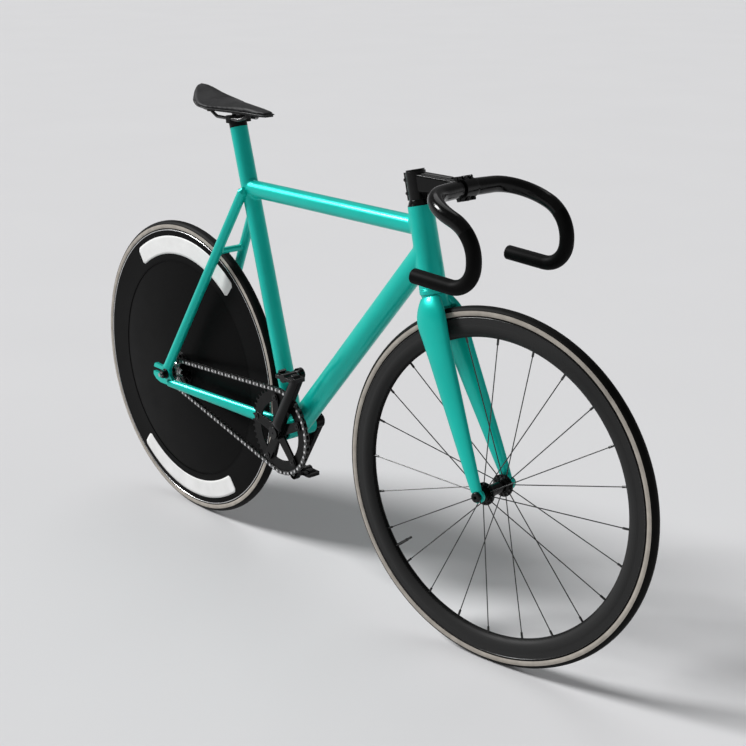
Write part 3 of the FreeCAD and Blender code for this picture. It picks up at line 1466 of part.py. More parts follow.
def make_stem():
    low = stem_clamp_low
    high = stem_clamp_low + stem_clamp_height
    bar_centre = steering_point(bar_clamp_forward, 0, bar_clamp_along)
    clamp = barrel(steering_foot, head_up, stem_clamp_radius, low, high)
    clamp_middle = steering_point(0, 0, (low + high) / 2)
    beam_along = unit(bar_centre - clamp_middle)
    front_rise = stem_beam_front_half_height
    corners = [steering_point(0, 0, low + stem_beam_low_inset), bar_centre - head_up * front_rise,
               bar_centre + head_up * front_rise, steering_point(0, 0, high - stem_beam_rear_inset)]
    beam = plate(corners, -stem_beam_half_width, stem_beam_half_width)
    beam = rounded(beam, beam_along, stem_beam_corner)
    sleeve = barrel(bar_centre, Y_AXIS, bar_clamp_radius, -bar_clamp_half_width, bar_clamp_half_width)
    lug_centre = stem_lug_offset
    lugs = []
    for sign in (-1, 1):
        centre = bar_centre + head_up * (sign * lug_centre)
        lugs.append(block(centre, Y_AXIS, head_up, bar_clamp_half_width, stem_lug_height / 2, -stem_lug_depth,
                          stem_lug_depth))
    ears = block(steering_point(-pinch_ear_reach / 2, 0, 0), head_forward, Y_AXIS, pinch_ear_reach / 2,
                 pinch_ear_half_width, low, high)
    solid = joined([clamp, beam, sleeve, ears] + lugs)
    solid = solid.cut(barrel(steering_foot, head_up, steerer_radius + seat_clearance, low - cut_overrun,
                             high + cut_overrun))
    bar_bore = bar_centre_radius + seat_clearance
    solid = solid.cut(barrel(bar_centre, Y_AXIS, bar_bore, -bar_half_width, bar_half_width))
    slit = block(steering_point(-pinch_ear_reach, 0, 0), head_forward, Y_AXIS, pinch_ear_reach,
                 pinch_slit / 2, low - cut_overrun, high + cut_overrun)
    solid = solid.cut(slit)
    bolts = []
    holes = []
    for sign in (-1, 1):
        for side in SIDES.values():
            place = bar_centre + head_up * (sign * lug_centre) + Y_AXIS * (side * stem_bolt_spread)
            back = -stem_lug_depth
            face = stem_lug_depth
            shank = barrel(place, head_forward, stem_bolt_radius, back, face)
            head = barrel(place, head_forward, stem_bolt_head_radius, face, face + stem_bolt_head_height)
            bolts.append(joined([shank, head]))
            holes.append(barrel(place, head_forward, stem_bolt_radius + seat_clearance, back, face))
            holes.append(barrel(place, head_forward, stem_bolt_head_radius + seat_clearance, face,
                                bar_clamp_radius))
        along = (low + high) / 2 + sign * (stem_clamp_height / 2 - pinch_bolt_inset)
        place = steering_point(-pinch_bolt_back, 0, along)
        shank = barrel(place, Y_AXIS, stem_bolt_radius, -pinch_ear_half_width, pinch_ear_half_width)
        head = barrel(place, Y_AXIS, stem_bolt_head_radius, -pinch_ear_half_width - stem_bolt_head_height,
                      -pinch_ear_half_width)
        bolts.append(joined([shank, head]))
        holes.append(barrel(place, Y_AXIS, stem_bolt_radius + seat_clearance, -pinch_ear_half_width,
                            pinch_ear_half_width))
        holes.append(barrel(place, Y_AXIS, stem_bolt_head_radius + seat_clearance, -stem_clamp_radius,
                            -pinch_ear_half_width))
    for hole in holes:
        solid = solid.cut(hole)
    reach = bar_half_width
    front_half = block(bar_centre, Y_AXIS, head_up, reach, reach, faceplate_gap / 2, reach)
    back_half = block(bar_centre, Y_AXIS, head_up, reach, reach, -reach * 2, -faceplate_gap / 2)
    cap_low = high + seat_clearance
    cap = barrel(steering_foot, head_up, top_cap_radius, cap_low, cap_low + top_cap_height)
    plug_low = cap_low - stem_clamp_height / 2
    plug = barrel(steering_foot, head_up, steerer_bore - seat_clearance, plug_low, cap_low)
    cover_low = steering_foot + head_up * (head_tube_start + head_tube_length + neighbour_gap)
    cover_top = steering_foot + head_up * (low - seat_clearance)
    cover = taper(cover_low, cover_top, head_tube_top_radius, headset_cover_top_radius)
    cover = cover.cut(barrel(steering_foot, head_up, steerer_radius + seat_clearance, head_tube_start, high))
    return {
        "stem_body": biggest(solid.common(back_half)),
        "stem_faceplate": biggest(solid.common(front_half)),
        "stem_bolts": Part.makeCompound(bolts),
        "stem_top_cap": joined([cap, plug]),
        "headset_cover": cover,
    }


def bar_path():
    """Centre line of the bar's left half, from inside its straight middle to the end of the drop."""
    centre = steering_point(bar_clamp_forward, 0, bar_clamp_along)
    start = centre + Y_AXIS * (bar_centre_half_width - bar_arm_overlap)
    points = [
        start,
        centre + V(bar_bend_forward, bar_half_width, 0),
        centre + V(bar_ramp_reach, bar_half_width, -bar_ramp_drop),
        centre + V(bar_hook_reach, bar_half_width, -bar_drop),
        centre + V(bar_end_reach, bar_half_width, -bar_end_drop),
    ]
    return bent_path(points, [bar_bend_radius, bar_hook_radius, bar_heel_radius])


def make_handlebar():
    """Round drop bar that narrows from its middle to the grips, which sit flush over the drops."""
    centre = steering_point(bar_clamp_forward, 0, bar_clamp_along)
    half = bar_centre_half_width
    path = bar_path()
    hook = path[3]
    hook_start = hook.FirstParameter + (hook.LastParameter - hook.FirstParameter) * grip_start_share
    top_edges = path[:3] + [hook.Curve.toShape(hook.FirstParameter, hook_start)]
    grip_edges = [hook.Curve.toShape(hook_start, hook.LastParameter)] + path[4:]
    bar = barrel(centre, Y_AXIS, bar_centre_radius, -half, half)
    arm_top = narrowed(top_edges, bar_centre_radius - bar_arm_step, grip_radius)
    for arm in (arm_top, swept(grip_edges, bar_radius)):
        bar = bar.fuse(arm).fuse(mirrored(arm))
    bar = bar.removeSplitter()
    room = swept(path, bar_radius - bar_wall)
    bar = bar.cut(room).cut(mirrored(room))
    last = grip_edges[-1]
    end = last.valueAt(last.LastParameter)
    outward = last.tangentAt(last.LastParameter)
    cap = rod(end, end + outward * grip_end_thickness, grip_radius)
    cap_rims = [edge for edge in cap.Edges if isinstance(edge.Curve, Part.Circle)]
    far_rim = max(cap_rims, key=lambda edge: (edge.CenterOfMass - end).Length)
    sleeve = joined([swept(grip_edges, grip_radius), cap.makeFillet(grip_end_round, [far_rim])])
    inside = swept(grip_edges, bar_radius + running_clearance)
    grip = biggest(sleeve.cut(inside))
    return {"handlebar": biggest(bar), "grip_left": grip, "grip_right": mirrored(grip)}


def turned_with_steering(nodes):
    """The steering assembly as it stands at rest, turned to the left about the steering axis."""
    result = {}
    for name, shape in nodes.items():
        copy = shape.copy()
        copy.rotate(steering_foot, head_up, steer_at_rest)
        result[name] = copy
    return result


def make_all():
    nodes = {}
    outlines = frame_outlines()
    nodes.update(make_main_tubes(outlines))
    nodes.update(make_rear_triangle(outlines))
    nodes.update(make_bearings())
    nodes.update(make_seat())
    nodes.update(make_chain())
    nodes.update(make_rear_axle())
    nodes.update(make_rear_wheel())
    nodes.update(make_crankset())
    for name, side in SIDES.items():
        nodes.update(make_pedal(name, side))
    steering = {}
    steering.update(make_fork())
    steering.update(make_stem())
    steering.update(make_handlebar())
    steering.update(make_front_axle())
    steering.update(make_front_wheel())
    nodes.update(turned_with_steering(steering))
    return nodes


os.makedirs("parts", exist_ok=True)
for node, shape in make_all().items():
    shape.exportStep("parts/" + node + ".step")
    state = "valid" if shape.isValid() else "INVALID"
    print(node, len(shape.Solids), "solids", round(shape.Volume), "cubic mm", state)
print("bottom bracket", bottom_bracket, "steering foot", steering_foot, "steering axis", head_up)
print("pedal eyes", eye_centre(-1), eye_centre(1), "chain centre distance", chain_centre)
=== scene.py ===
import json
import math

import bmesh
import bpy
import numpy as np
from mathutils import Matrix, Vector


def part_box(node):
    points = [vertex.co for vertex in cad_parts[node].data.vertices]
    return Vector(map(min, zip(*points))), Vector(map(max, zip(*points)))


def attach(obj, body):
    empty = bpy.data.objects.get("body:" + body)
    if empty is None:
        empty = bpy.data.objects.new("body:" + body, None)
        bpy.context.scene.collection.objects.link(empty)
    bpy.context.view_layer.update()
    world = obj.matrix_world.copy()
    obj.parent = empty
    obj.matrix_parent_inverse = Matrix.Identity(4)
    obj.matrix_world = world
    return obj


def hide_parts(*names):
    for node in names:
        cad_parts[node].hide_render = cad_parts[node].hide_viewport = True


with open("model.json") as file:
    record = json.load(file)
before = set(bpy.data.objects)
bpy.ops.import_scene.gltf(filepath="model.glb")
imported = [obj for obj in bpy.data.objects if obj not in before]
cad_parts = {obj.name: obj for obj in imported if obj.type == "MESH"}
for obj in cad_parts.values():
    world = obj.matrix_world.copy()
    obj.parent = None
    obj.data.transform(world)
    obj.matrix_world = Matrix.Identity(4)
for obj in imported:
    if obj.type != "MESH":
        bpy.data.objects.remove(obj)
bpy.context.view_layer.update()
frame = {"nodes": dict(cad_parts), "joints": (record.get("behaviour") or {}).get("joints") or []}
joints = {joint["name"]: joint for joint in frame["joints"]}


# Frame tubes
# Round aluminium tubes, mitred and welded, with the welds filed smooth before painting.
# The paint is a turquoise pearl under a clear coat, with a faint peel in the gloss.

def new_finish(name, roughness, metallic=0.0, coat=0.0, coat_roughness=0.05, specular=0.5):
    """Material whose even values sit on the shader's own sockets."""
    material = bpy.data.materials.new(name)
    material.use_nodes = True
    inputs = material.node_tree.nodes["Principled BSDF"].inputs
    inputs["Roughness"].default_value = roughness
    inputs["Metallic"].default_value = metallic
    inputs["Coat Weight"].default_value = coat
    inputs["Coat Roughness"].default_value = coat_roughness
    inputs["Specular IOR Level"].default_value = specular
    return material


def add_node(material, kind, values=(), **settings):
    """Shader node with its settings and the values or links of its inputs."""
    node = material.node_tree.nodes.new(kind)
    for name, value in settings.items():
        setattr(node, name, value)
    for name, value in dict(values).items():
        if isinstance(value, bpy.types.NodeSocket):
            material.node_tree.links.new(value, node.inputs[name])
        else:
            node.inputs[name].default_value = value
    return node


def coordinates(material, place=None, stretch=(1.0, 1.0, 1.0)):
    """Object coordinates, or those of a piece that stands at a place of its own."""
    source = add_node(material, "ShaderNodeTexCoord").outputs["Object"]
    if place is not None:
        back = place.inverted()
        source = add_node(material, "ShaderNodeMapping", {
            "Vector": source, "Location": back.to_translation(), "Rotation": back.to_euler()}).outputs["Vector"]
    return add_node(material, "ShaderNodeMapping", {"Vector": source, "Scale": stretch}).outputs["Vector"]


def noise(material, vector, scale, detail=3.0, roughness=0.5):
    """Even cloudy noise, with its scale in cells for each metre."""
    return add_node(material, "ShaderNodeTexNoise", {
        "Vector": vector, "Scale": scale, "Detail": detail, "Roughness": roughness}).outputs["Fac"]


def arithmetic(material, operation, first, second=0.0):
    """Result of one sum on sockets or numbers."""
    node = add_node(material, "ShaderNodeMath", {0: first, 1: second}, operation=operation)
    return node.outputs["Value"]


def colour_ramp(material, factor, stops):
    """Colours along a factor, from pairs of place and colour."""
    node = add_node(material, "ShaderNodeValToRGB", {"Fac": factor})
    elements = node.color_ramp.elements
    while len(elements) < len(stops):
        elements.new(1.0)
    for element, (place, colour) in zip(elements, stops):
        element.position = place
        element.color = (*colour, 1.0)
    return node.outputs["Color"]


def value_range(material, value, low, high, to_low, to_high):
    """Value moved from one range to another, and held inside it."""
    return add_node(material, "ShaderNodeMapRange", {
        "Value": value, "From Min": low, "From Max": high, "To Min": to_low, "To Max": to_high}).outputs["Result"]


def set_input(material, name, socket):
    """Joins a socket to an input of the material's shader."""
    shader = material.node_tree.nodes["Principled BSDF"]
    material.node_tree.links.new(socket, shader.inputs[name])


def set_bump(material, height, strength, distance, edge=0.0):
    """Relief of the surface, with the sharp edges eased by a radius where one is given."""
    values = {"Height": height, "Strength": strength, "Distance": distance}
    if edge:
        values["Normal"] = add_node(material, "ShaderNodeBevel", {"Radius": edge}).outputs["Normal"]
    set_input(material, "Normal", add_node(material, "ShaderNodeBump", values).outputs["Normal"])


def dress(material, *nodes):
    """Gives CAD nodes a finish."""
    for name in nodes:
        frame["nodes"][name].material_slots[0].material = material


def pearl_paint(name, stops):
    """Paint with fine flakes under a clear coat."""
    mottle_scale, sheen_scale, peel_scale = 9.0, 60.0, 420.0
    peel_strength, peel_depth = 0.05, 0.0004
    material = new_finish(name, 0.36, metallic=0.4, coat=0.3, coat_roughness=0.15, specular=0.12)
    vector = coordinates(material)
    set_input(material, "Base Color", colour_ramp(material, noise(material, vector, mottle_scale, 4.0), stops))
    set_input(material, "Roughness", value_range(material, noise(material, vector, sheen_scale), 0.3, 0.7, 0.34, 0.40))
    set_bump(material, noise(material, vector, peel_scale, 2.0), peel_strength, peel_depth)
    return material


turquoise_paint = pearl_paint("turquoise_paint", [
    (0.30, (0.002, 0.480, 0.400)), (0.55, (0.003, 0.525, 0.437)), (0.75, (0.004, 0.560, 0.467))])
dress(turquoise_paint, "head_tube", "top_tube", "down_tube", "seat_tube", "bottom_bracket_shell",
      "chain_stay_right", "chain_stay_left", "seat_stay_right", "seat_stay_left", "seat_stay_bridge",
      "track_end_right", "track_end_left", "fork_crown", "fork_blade_right", "fork_blade_left")


# Weld fillets of the frame
# Concave runs of filler metal where one tube meets another, filed smooth and painted over.
# Each follows the line in which the two tubes cross.

def new_piece(name, vertices, faces, materials, body, slot, smooth=True):
    """Mesh piece that rides on a body. Its slot argument is not used."""
    weld_distance = 1e-6
    mesh = bpy.data.meshes.new(name)
    mesh.from_pydata([tuple(point) for point in vertices], [], faces)
    mesh.validate()
    for material in materials:
        mesh.materials.append(material)
    build = bmesh.new()
    build.from_mesh(mesh)
    bmesh.ops.remove_doubles(build, verts=build.verts, dist=weld_distance)
    bmesh.ops.recalc_face_normals(build, faces=build.faces)
    build.to_mesh(mesh)
    build.free()
    mesh.polygons.foreach_set("use_smooth", [smooth] * len(mesh.polygons))
    piece = bpy.data.objects.new(name, mesh)
    bpy.context.scene.collection.objects.link(piece)
    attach(piece, body)
    return piece


def loft_faces(rows, columns, closed_rows):
    """Quads between rows of points, each row a closed loop."""
    faces = []
    for row in range(rows if closed_rows else rows - 1):
        after = (row + 1) % rows
        for column in range(columns):
            beside = (column + 1) % columns
            faces.append((row * columns + column, row * columns + beside,
                          after * columns + beside, after * columns + column))
    return faces


def weld_fillet(host_point, host_axis, host_radius, tube_point, tube_axis, tube_radius, size):
    """Points and faces of the fillet where a tube runs into the side of a host tube."""
    host_axis = Vector(host_axis).normalized()
    tube_axis = Vector(tube_axis).normalized()
    across = tube_axis.cross(host_axis).normalized()
    upright = across.cross(tube_axis)
    steps, around = 7, 96
    sunk, root_depth = 0.0001, 0.001
    points = []
    for index in range(around):
        angle = 2 * math.pi * index / around
        outward = across * math.cos(angle) + upright * math.sin(angle)
        start = Vector(tube_point) + outward * tube_radius - Vector(host_point)
        flat_start = start - host_axis * start.dot(host_axis)
        flat_axis = tube_axis - host_axis * tube_axis.dot(host_axis)
        a = flat_axis.length_squared
        b = flat_start.dot(flat_axis)
        c = flat_start.length_squared - host_radius ** 2
        reach = (-b + math.sqrt(max(b * b - a * c, 0.0))) / a
        crossing = start + tube_axis * reach
        normal = (crossing - host_axis * crossing.dot(host_axis)).normalized()
        slide = (outward - normal * outward.dot(normal)).normalized()
        foot = crossing + slide * size
        foot_axis = host_axis * foot.dot(host_axis)
        foot = foot_axis + (foot - foot_axis).normalized() * (host_radius - sunk)
        head = crossing + tube_axis * size - outward * sunk
        for step in range(steps):
            share = step / (steps - 1)
            points.append(Vector(host_point) + foot * (1 - share) ** 2 + crossing * (2 * share * (1 - share))
                          + head * share ** 2)
        points.append(Vector(host_point) + crossing - (normal + outward) * root_depth)
    return points, loft_faces(around, steps + 1, True)


def join_forms(forms):
    """One list of points and faces from several."""
    points, faces = [], []
    for form_points, form_faces in forms:
        start = len(points)
        points.extend(form_points)
        faces.extend([tuple(corner + start for corner in face) for face in form_faces])
    return points, faces


head_axis = Vector(joints["steering"]["axis"])
head_foot = Vector(joints["steering"]["pos_m"])
bracket = Vector(joints["crank_spin"]["pos_m"])
seat_angle = math.radians(74.6)
seat_axis = Vector((-math.cos(seat_angle), 0, math.sin(seat_angle)))
seat_foot = bracket - Vector((0.006, 0, 0))


def on_axis(foot, axis, height):
    """Point of a line at a height above the ground."""
    return foot + axis * ((height - foot.z) / axis.z)


head_radius_high, head_radius_low = 0.0234, 0.0241
top_radius, down_radius, seat_radius, shell_radius = 0.0176, 0.0240, 0.0183, 0.0215
stay_radius, bridge_radius = 0.0104, 0.007
weld_size, wide_weld_size, small_weld_size = 0.006, 0.007, 0.004
top_at_seat = on_axis(seat_foot, seat_axis, 0.782)
top_at_head = on_axis(head_foot, head_axis, 0.787)
down_at_head = on_axis(head_foot, head_axis, 0.746)
rear_hub = Vector(joints["rear_wheel_spin"]["pos_m"])
bridge_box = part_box("seat_stay_bridge")
bridge_middle = (Vector(bridge_box[0]) + Vector(bridge_box[1])) / 2
bridge_welds = []
for side in (-1, 1):
    stay_top = top_at_seat - seat_axis * 0.0052 + Vector((0, side * 0.020, 0))
    stay_low = rear_hub + Vector((0.005, side * 0.0635, 0.016))
    bridge_welds.append(weld_fillet(stay_top, stay_low - stay_top, stay_radius, bridge_middle, (0, -side, 0),
                                    bridge_radius, small_weld_size))
welds = join_forms([
    weld_fillet(head_foot, head_axis, head_radius_high, top_at_head, top_at_seat - top_at_head, top_radius, weld_size),
    weld_fillet(head_foot, head_axis, head_radius_low, down_at_head, bracket - down_at_head, down_radius,
                wide_weld_size),
    weld_fillet(seat_foot, seat_axis, seat_radius, top_at_seat, top_at_head - top_at_seat, top_radius, weld_size),
    weld_fillet(bracket, (0, 1, 0), shell_radius, seat_foot, seat_axis, seat_radius, weld_size),
] + bridge_welds)
new_piece("frame_welds", *welds, [turquoise_paint], "frame", "frame_paint")


# Bearings
# Sealed cartridge rings of blackened steel, pressed into the head tube, the bottom bracket and the hubs.

def worn_black(name, shade, roughness, specular=0.3):
    """Black metal with faint scuffs that catch the light."""
    material = new_finish(name, roughness, specular=specular)
    vector = coordinates(material)
    set_input(material, "Base Color", colour_ramp(material, noise(material, vector, 35.0, 5.0), [
        (0.30, (shade * 0.7,) * 3), (0.62, (shade,) * 3), (0.85, (shade * 1.8,) * 3)]))
    grain = noise(material, vector, 260.0, 3.0)
    set_input(material, "Roughness", value_range(material, grain, 0.3, 0.7, roughness - 0.06, roughness + 0.08))
    set_bump(material, grain, 0.04, 0.0003, edge=0.0012)
    return material


black_steel = worn_black("black_steel", 0.004, 0.26, 0.24)
dress(black_steel, "headset_bearings", "bottom_bracket_bearings", "front_hub_bearings", "rear_hub_bearings")


# Lower headset cup
# A turned ring pressed on the foot of the head tube and painted with it, with a fine groove above.

def turned_on_axis(profile, foot, axis, segments):
    """Points and faces of a closed profile, pairs of radius and height, turned about an axis."""
    across = axis.cross(Vector((0, 1, 0))).normalized()
    beside = axis.cross(across)
    points = []
    for index in range(segments):
        angle = 2 * math.pi * index / segments
        outward = across * math.cos(angle) + beside * math.sin(angle)
        points.extend(foot + outward * radius + axis * height for radius, height in profile)
    return points, loft_faces(segments, len(profile), True)


cup_height, cup_segments = 0.3619, 96
cup_foot = head_foot + head_axis * cup_height
cup_profile = [(0.0240, 0.0001), (0.0250, 0.0001), (0.0255, 0.0006), (0.0255, 0.0074), (0.0251, 0.0080),
               (0.0251, 0.0088), (0.0256, 0.0094), (0.0256, 0.0104), (0.0252, 0.0111), (0.0240, 0.0111)]
new_piece("headset_cup", *turned_on_axis(cup_profile, cup_foot, head_axis, cup_segments), [turquoise_paint], "frame",
          "frame_paint", smooth=False)


# Stem, headset cover and handlebar
# Forged alloy, anodised black and polished, clamped to the steerer and to the bar.
# The stem's upper face is crowned along its length.

polished_black = worn_black("polished_black", 0.0015, 0.16, 0.22)
dress(polished_black, "headset_cover", "stem_body", "stem_faceplate", "stem_top_cap", "handlebar")
dress(black_steel, "stem_bolts")


def ridge_form(start, end, across, outward, halves, crown, fade):
    """Crowned ridge between two points of a flat face, closed underneath."""
    rows, columns, roundness, lift, sunk = 48, 14, 1.7, 0.00005, 0.0003
    length = (end - start).length
    points = []
    for row in range(rows + 1):
        share = row / rows
        half = halves[0] + (halves[1] - halves[0]) * share
        near_end = min(1.0, share * length / fade, (1 - share) * length / fade)
        height = crown * math.sqrt(max(0.0, 1 - (1 - near_end) ** 2))
        section = []
        for column in range(columns + 1):
            place = 2 * column / columns - 1
            section.append((place, height * (1 - abs(place) ** roundness) + lift))
        for column in range(columns - 1, 0, -1):
            section.append((2 * column / columns - 1, -sunk))
        points.extend(start.lerp(end, share) + across * (half * place) + outward * rise for place, rise in section)
    count = 2 * columns
    faces = loft_faces(rows + 1, count, False)
    faces.append(tuple(range(count)))
    faces.append(tuple(range(rows * count, (rows + 1) * count)))
    return points, faces


steer_rest = math.radians(9.1)
beam_rear_height, beam_front_height, beam_front_reach = 0.5795, 0.5526, 0.1032
ridge_start, ridge_end = 0.19, 0.80
ridge_halves, ridge_crown, ridge_fade = (0.0100, 0.0092), 0.0030, 0.006
steer_turn = Matrix.Rotation(steer_rest, 4, head_axis)
steer_forward = (steer_turn @ Vector((head_axis.z, 0, -head_axis.x))).normalized()
steer_side = steer_turn @ Vector((0, 1, 0))
beam_rear = head_foot + head_axis * beam_rear_height
beam_front = head_foot + steer_forward * beam_front_reach + head_axis * beam_front_height
beam_out = steer_side.cross(beam_rear - beam_front).normalized()
beam_out *= 1 if beam_out.dot(head_axis) > 0 else -1
new_piece("stem_ridge", *ridge_form(beam_rear.lerp(beam_front, ridge_start), beam_rear.lerp(beam_front, ridge_end),
                                    steer_side, beam_out, ridge_halves, ridge_crown, ridge_fade),
          [polished_black], "steering", "black_alloy")


# Grips
# Moulded rubber sleeves pushed over the drops, closed at their ends, with a fine pebbled skin.

grip_rubber = new_finish("grip_rubber", 0.5, specular=0.06)
grip_vector = coordinates(grip_rubber)
set_input(grip_rubber, "Base Color", colour_ramp(grip_rubber, noise(grip_rubber, grip_vector, 40.0, 4.0), [
    (0.3, (0.0012, 0.0012, 0.0012)), (0.7, (0.003, 0.003, 0.003))]))
set_bump(grip_rubber, noise(grip_rubber, grip_vector, 900.0, 2.0), 0.25, 0.0004)
dress(grip_rubber, "grip_right", "grip_left")


# Tyres
# Narrow tubular tyres: a black tread band on a pale cotton casing, cemented into the rim's bed.
# A black band of painted shade lies on the casing along the groove where it meets the rim.

def wheel_place(joint, turn):
    """Place and turn of a wheel's axle."""
    return Matrix.Translation(joints[joint]["pos_m"]) @ turn


front_place = wheel_place("front_wheel_spin", steer_turn)
rear_place = wheel_place("rear_wheel_spin", Matrix.Identity(4))


def turned_form(profile, place, segments=192):
    """Points and faces of a closed profile, pairs of radius and width, turned about a wheel's axle."""
    points = []
    for index in range(segments):
        angle = 2 * math.pi * index / segments
        for radius, width in profile:
            points.append(place @ Vector((radius * math.cos(angle), width, radius * math.sin(angle))))
    return points, loft_faces(segments, len(profile), True)


tyre_middle, tyre_half, tyre_inner = 0.323, 0.012, 0.0098
tread_edge, groove_shade_edge, bead_angle = math.radians(70), math.radians(114), math.radians(131)


def tyre_profile():
    """Outer line with a stepped tread band, then the inner line back."""
    profile = []
    outer_steps, inner_steps, tread_step = 60, 10, 0.00035
    for index in range(outer_steps + 1):
        angle = -bead_angle + 2 * bead_angle * index / outer_steps
        radius = tyre_half if abs(angle) < tread_edge else tyre_half - tread_step
        profile.append((tyre_middle + radius * math.cos(angle), radius * math.sin(angle)))
    for index in range(inner_steps + 1):
        angle = bead_angle - 2 * bead_angle * index / inner_steps
        profile.append((tyre_middle + tyre_inner * math.cos(angle), tyre_inner * math.sin(angle)))
    return profile


def tyre_finish(name, shades, roughness, grain, bump):
    """Matt rubber or cloth, with its grain in cells for each metre."""
    material = new_finish(name, roughness, specular=0.08)
    vector = coordinates(material)
    set_input(material, "Base Color", colour_ramp(material, noise(material, vector, 60.0, 5.0), [
        (0.3, shades[0]), (0.7, shades[1])]))
    set_bump(material, noise(material, vector, grain, 2.0), bump, 0.0004)
    return material


# The tread's black finish also paints the shade in the groove beside the rim.
tread_and_groove_shade = tyre_finish("tread_and_groove_shade", [(0.0015, 0.0015, 0.0015), (0.004, 0.004, 0.0035)], 0.55, 700.0, 0.3)
casing_cotton = tyre_finish("casing_cotton", [(0.32, 0.293, 0.258), (0.42, 0.387, 0.344)], 0.6, 1200.0, 0.3)

for tyre_name, place, body in (("front_tyre", front_place, "front_wheel"), ("rear_tyre", rear_place, "rear_wheel")):
    tyre = new_piece(tyre_name + "_casing", *turned_form(tyre_profile(), place), [tread_and_groove_shade, casing_cotton], body,
                     "tyre_rubber")
    back = place.inverted()
    for polygon in tyre.data.polygons:
        spot = back @ polygon.center
        section = math.atan2(abs(spot.y), math.hypot(spot.x, spot.z) - tyre_middle)
        # Past the second edge the casing takes the black tread finish as painted shade in the groove by the rim.
        polygon.material_index = 1 if tread_edge < section < groove_shade_edge else 0
    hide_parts(tyre_name)


# Rims and disc
# Wound fibre in matt resin: a deep open rim in front, and two bowed skins that close the rear wheel.
# The weave runs across both; the front rim's inner edge is painted black as shade where its face curves.

def fibre_composite(name, place, stops, roughness, specular):
    """Twill weave whose colour changes with the distance from the axle."""
    weave_pitch, weave_depth, wheel_reach = 900.0, 0.001, 0.35
    material = new_finish(name, roughness, specular=specular)
    vector = coordinates(material, place)
    split = add_node(material, "ShaderNodeSeparateXYZ", {0: vector})
    across = arithmetic(material, "MULTIPLY", split.outputs["X"], weave_pitch)
    along = arithmetic(material, "MULTIPLY", split.outputs["Z"], weave_pitch)
    warp = arithmetic(material, "SINE", arithmetic(material, "ADD", across, along))
    weft = arithmetic(material, "SINE", arithmetic(material, "SUBTRACT", across, along))
    weave = arithmetic(material, "MULTIPLY", arithmetic(material, "MULTIPLY", warp, weft), weave_depth)
    flat = add_node(material, "ShaderNodeCombineXYZ", {"X": split.outputs["X"], "Z": split.outputs["Z"]})
    reach = add_node(material, "ShaderNodeVectorMath", {0: flat.outputs["Vector"]}, operation="LENGTH")
    mottle = arithmetic(material, "MULTIPLY", noise(material, vector, 22.0, 5.0), 0.001)
    spread = arithmetic(material, "ADD", arithmetic(material, "ADD", reach.outputs["Value"], weave), mottle)
    share = value_range(material, spread, 0.0, wheel_reach, 0.0, 1.0)
    set_input(material, "Base Color", colour_ramp(material, share, stops))
    haze = noise(material, vector, 14.0, 5.0)
    set_input(material, "Roughness", value_range(material, haze, 0.3, 0.7, roughness - 0.06, roughness + 0.06))
    set_bump(material, weave, 0.2, 0.3)
    return material


# The black stops up to 0.805 paint the shade along the front rim's curved inner edge.
front_fibre = fibre_composite("front_fibre", front_place, [
    (0.0, (0.002,) * 3), (0.805, (0.002,) * 3), (0.809, (0.022,) * 3), (0.87, (0.026,) * 3), (0.94, (0.029,) * 3)],
    0.5, 0.1)
# The dip at 0.705 is painted shade at the step where the skins meet the rim; the rise at 0.72 is a painted highlight
# beside it.
rear_fibre = fibre_composite("rear_fibre", rear_place, [
    (0.0, (0.0025,) * 3), (0.69, (0.003,) * 3), (0.705, (0.001,) * 3), (0.72, (0.004,) * 3), (0.95, (0.0025,) * 3)],
    0.34, 0.03)
dress(front_fibre, "front_rim")
dress(rear_fibre, "rear_rim", "rear_disc_skins")


# Rim lips
# Turned edges on both sides of each rim, where the tyre's tape ends: dark in front, bright at the rear.
# A path round the wheel carries one small section.

def node_group(name, inputs):
    """Empty geometry tree with named inputs, and the ends of its chain of nodes."""
    group = bpy.data.node_groups.new(name, "GeometryNodeTree")
    group.interface.new_socket("Geometry", in_out="INPUT", socket_type="NodeSocketGeometry")
    sockets = {}
    for label, kind in inputs:
        sockets[label] = group.interface.new_socket(label, in_out="INPUT", socket_type=kind).identifier
    group.interface.new_socket("Geometry", in_out="OUTPUT", socket_type="NodeSocketGeometry")
    return group, sockets, group.nodes.new("NodeGroupInput"), group.nodes.new("NodeGroupOutput")


def grown_piece(name, mesh, group, values, body, smooth=True):
    """Plain mesh piece made by a geometry tree from the points or edges of a mesh."""
    carrier = bpy.data.objects.new(name + "_carrier", mesh)
    bpy.context.scene.collection.objects.link(carrier)
    modifier = carrier.modifiers.new("grow", "NODES")
    modifier.node_group = group
    for identifier, value in values.items():
        modifier[identifier] = value
    depsgraph = bpy.context.evaluated_depsgraph_get()
    grown = bpy.data.meshes.new_from_object(carrier.evaluated_get(depsgraph))
    carrier.modifiers.clear()
    bpy.data.objects.remove(carrier)
    grown.name = name
    grown.polygons.foreach_set("use_smooth", [smooth] * len(grown.polygons))
    piece = bpy.data.objects.new(name, grown)
    bpy.context.scene.collection.objects.link(piece)
    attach(piece, body)
    return piece


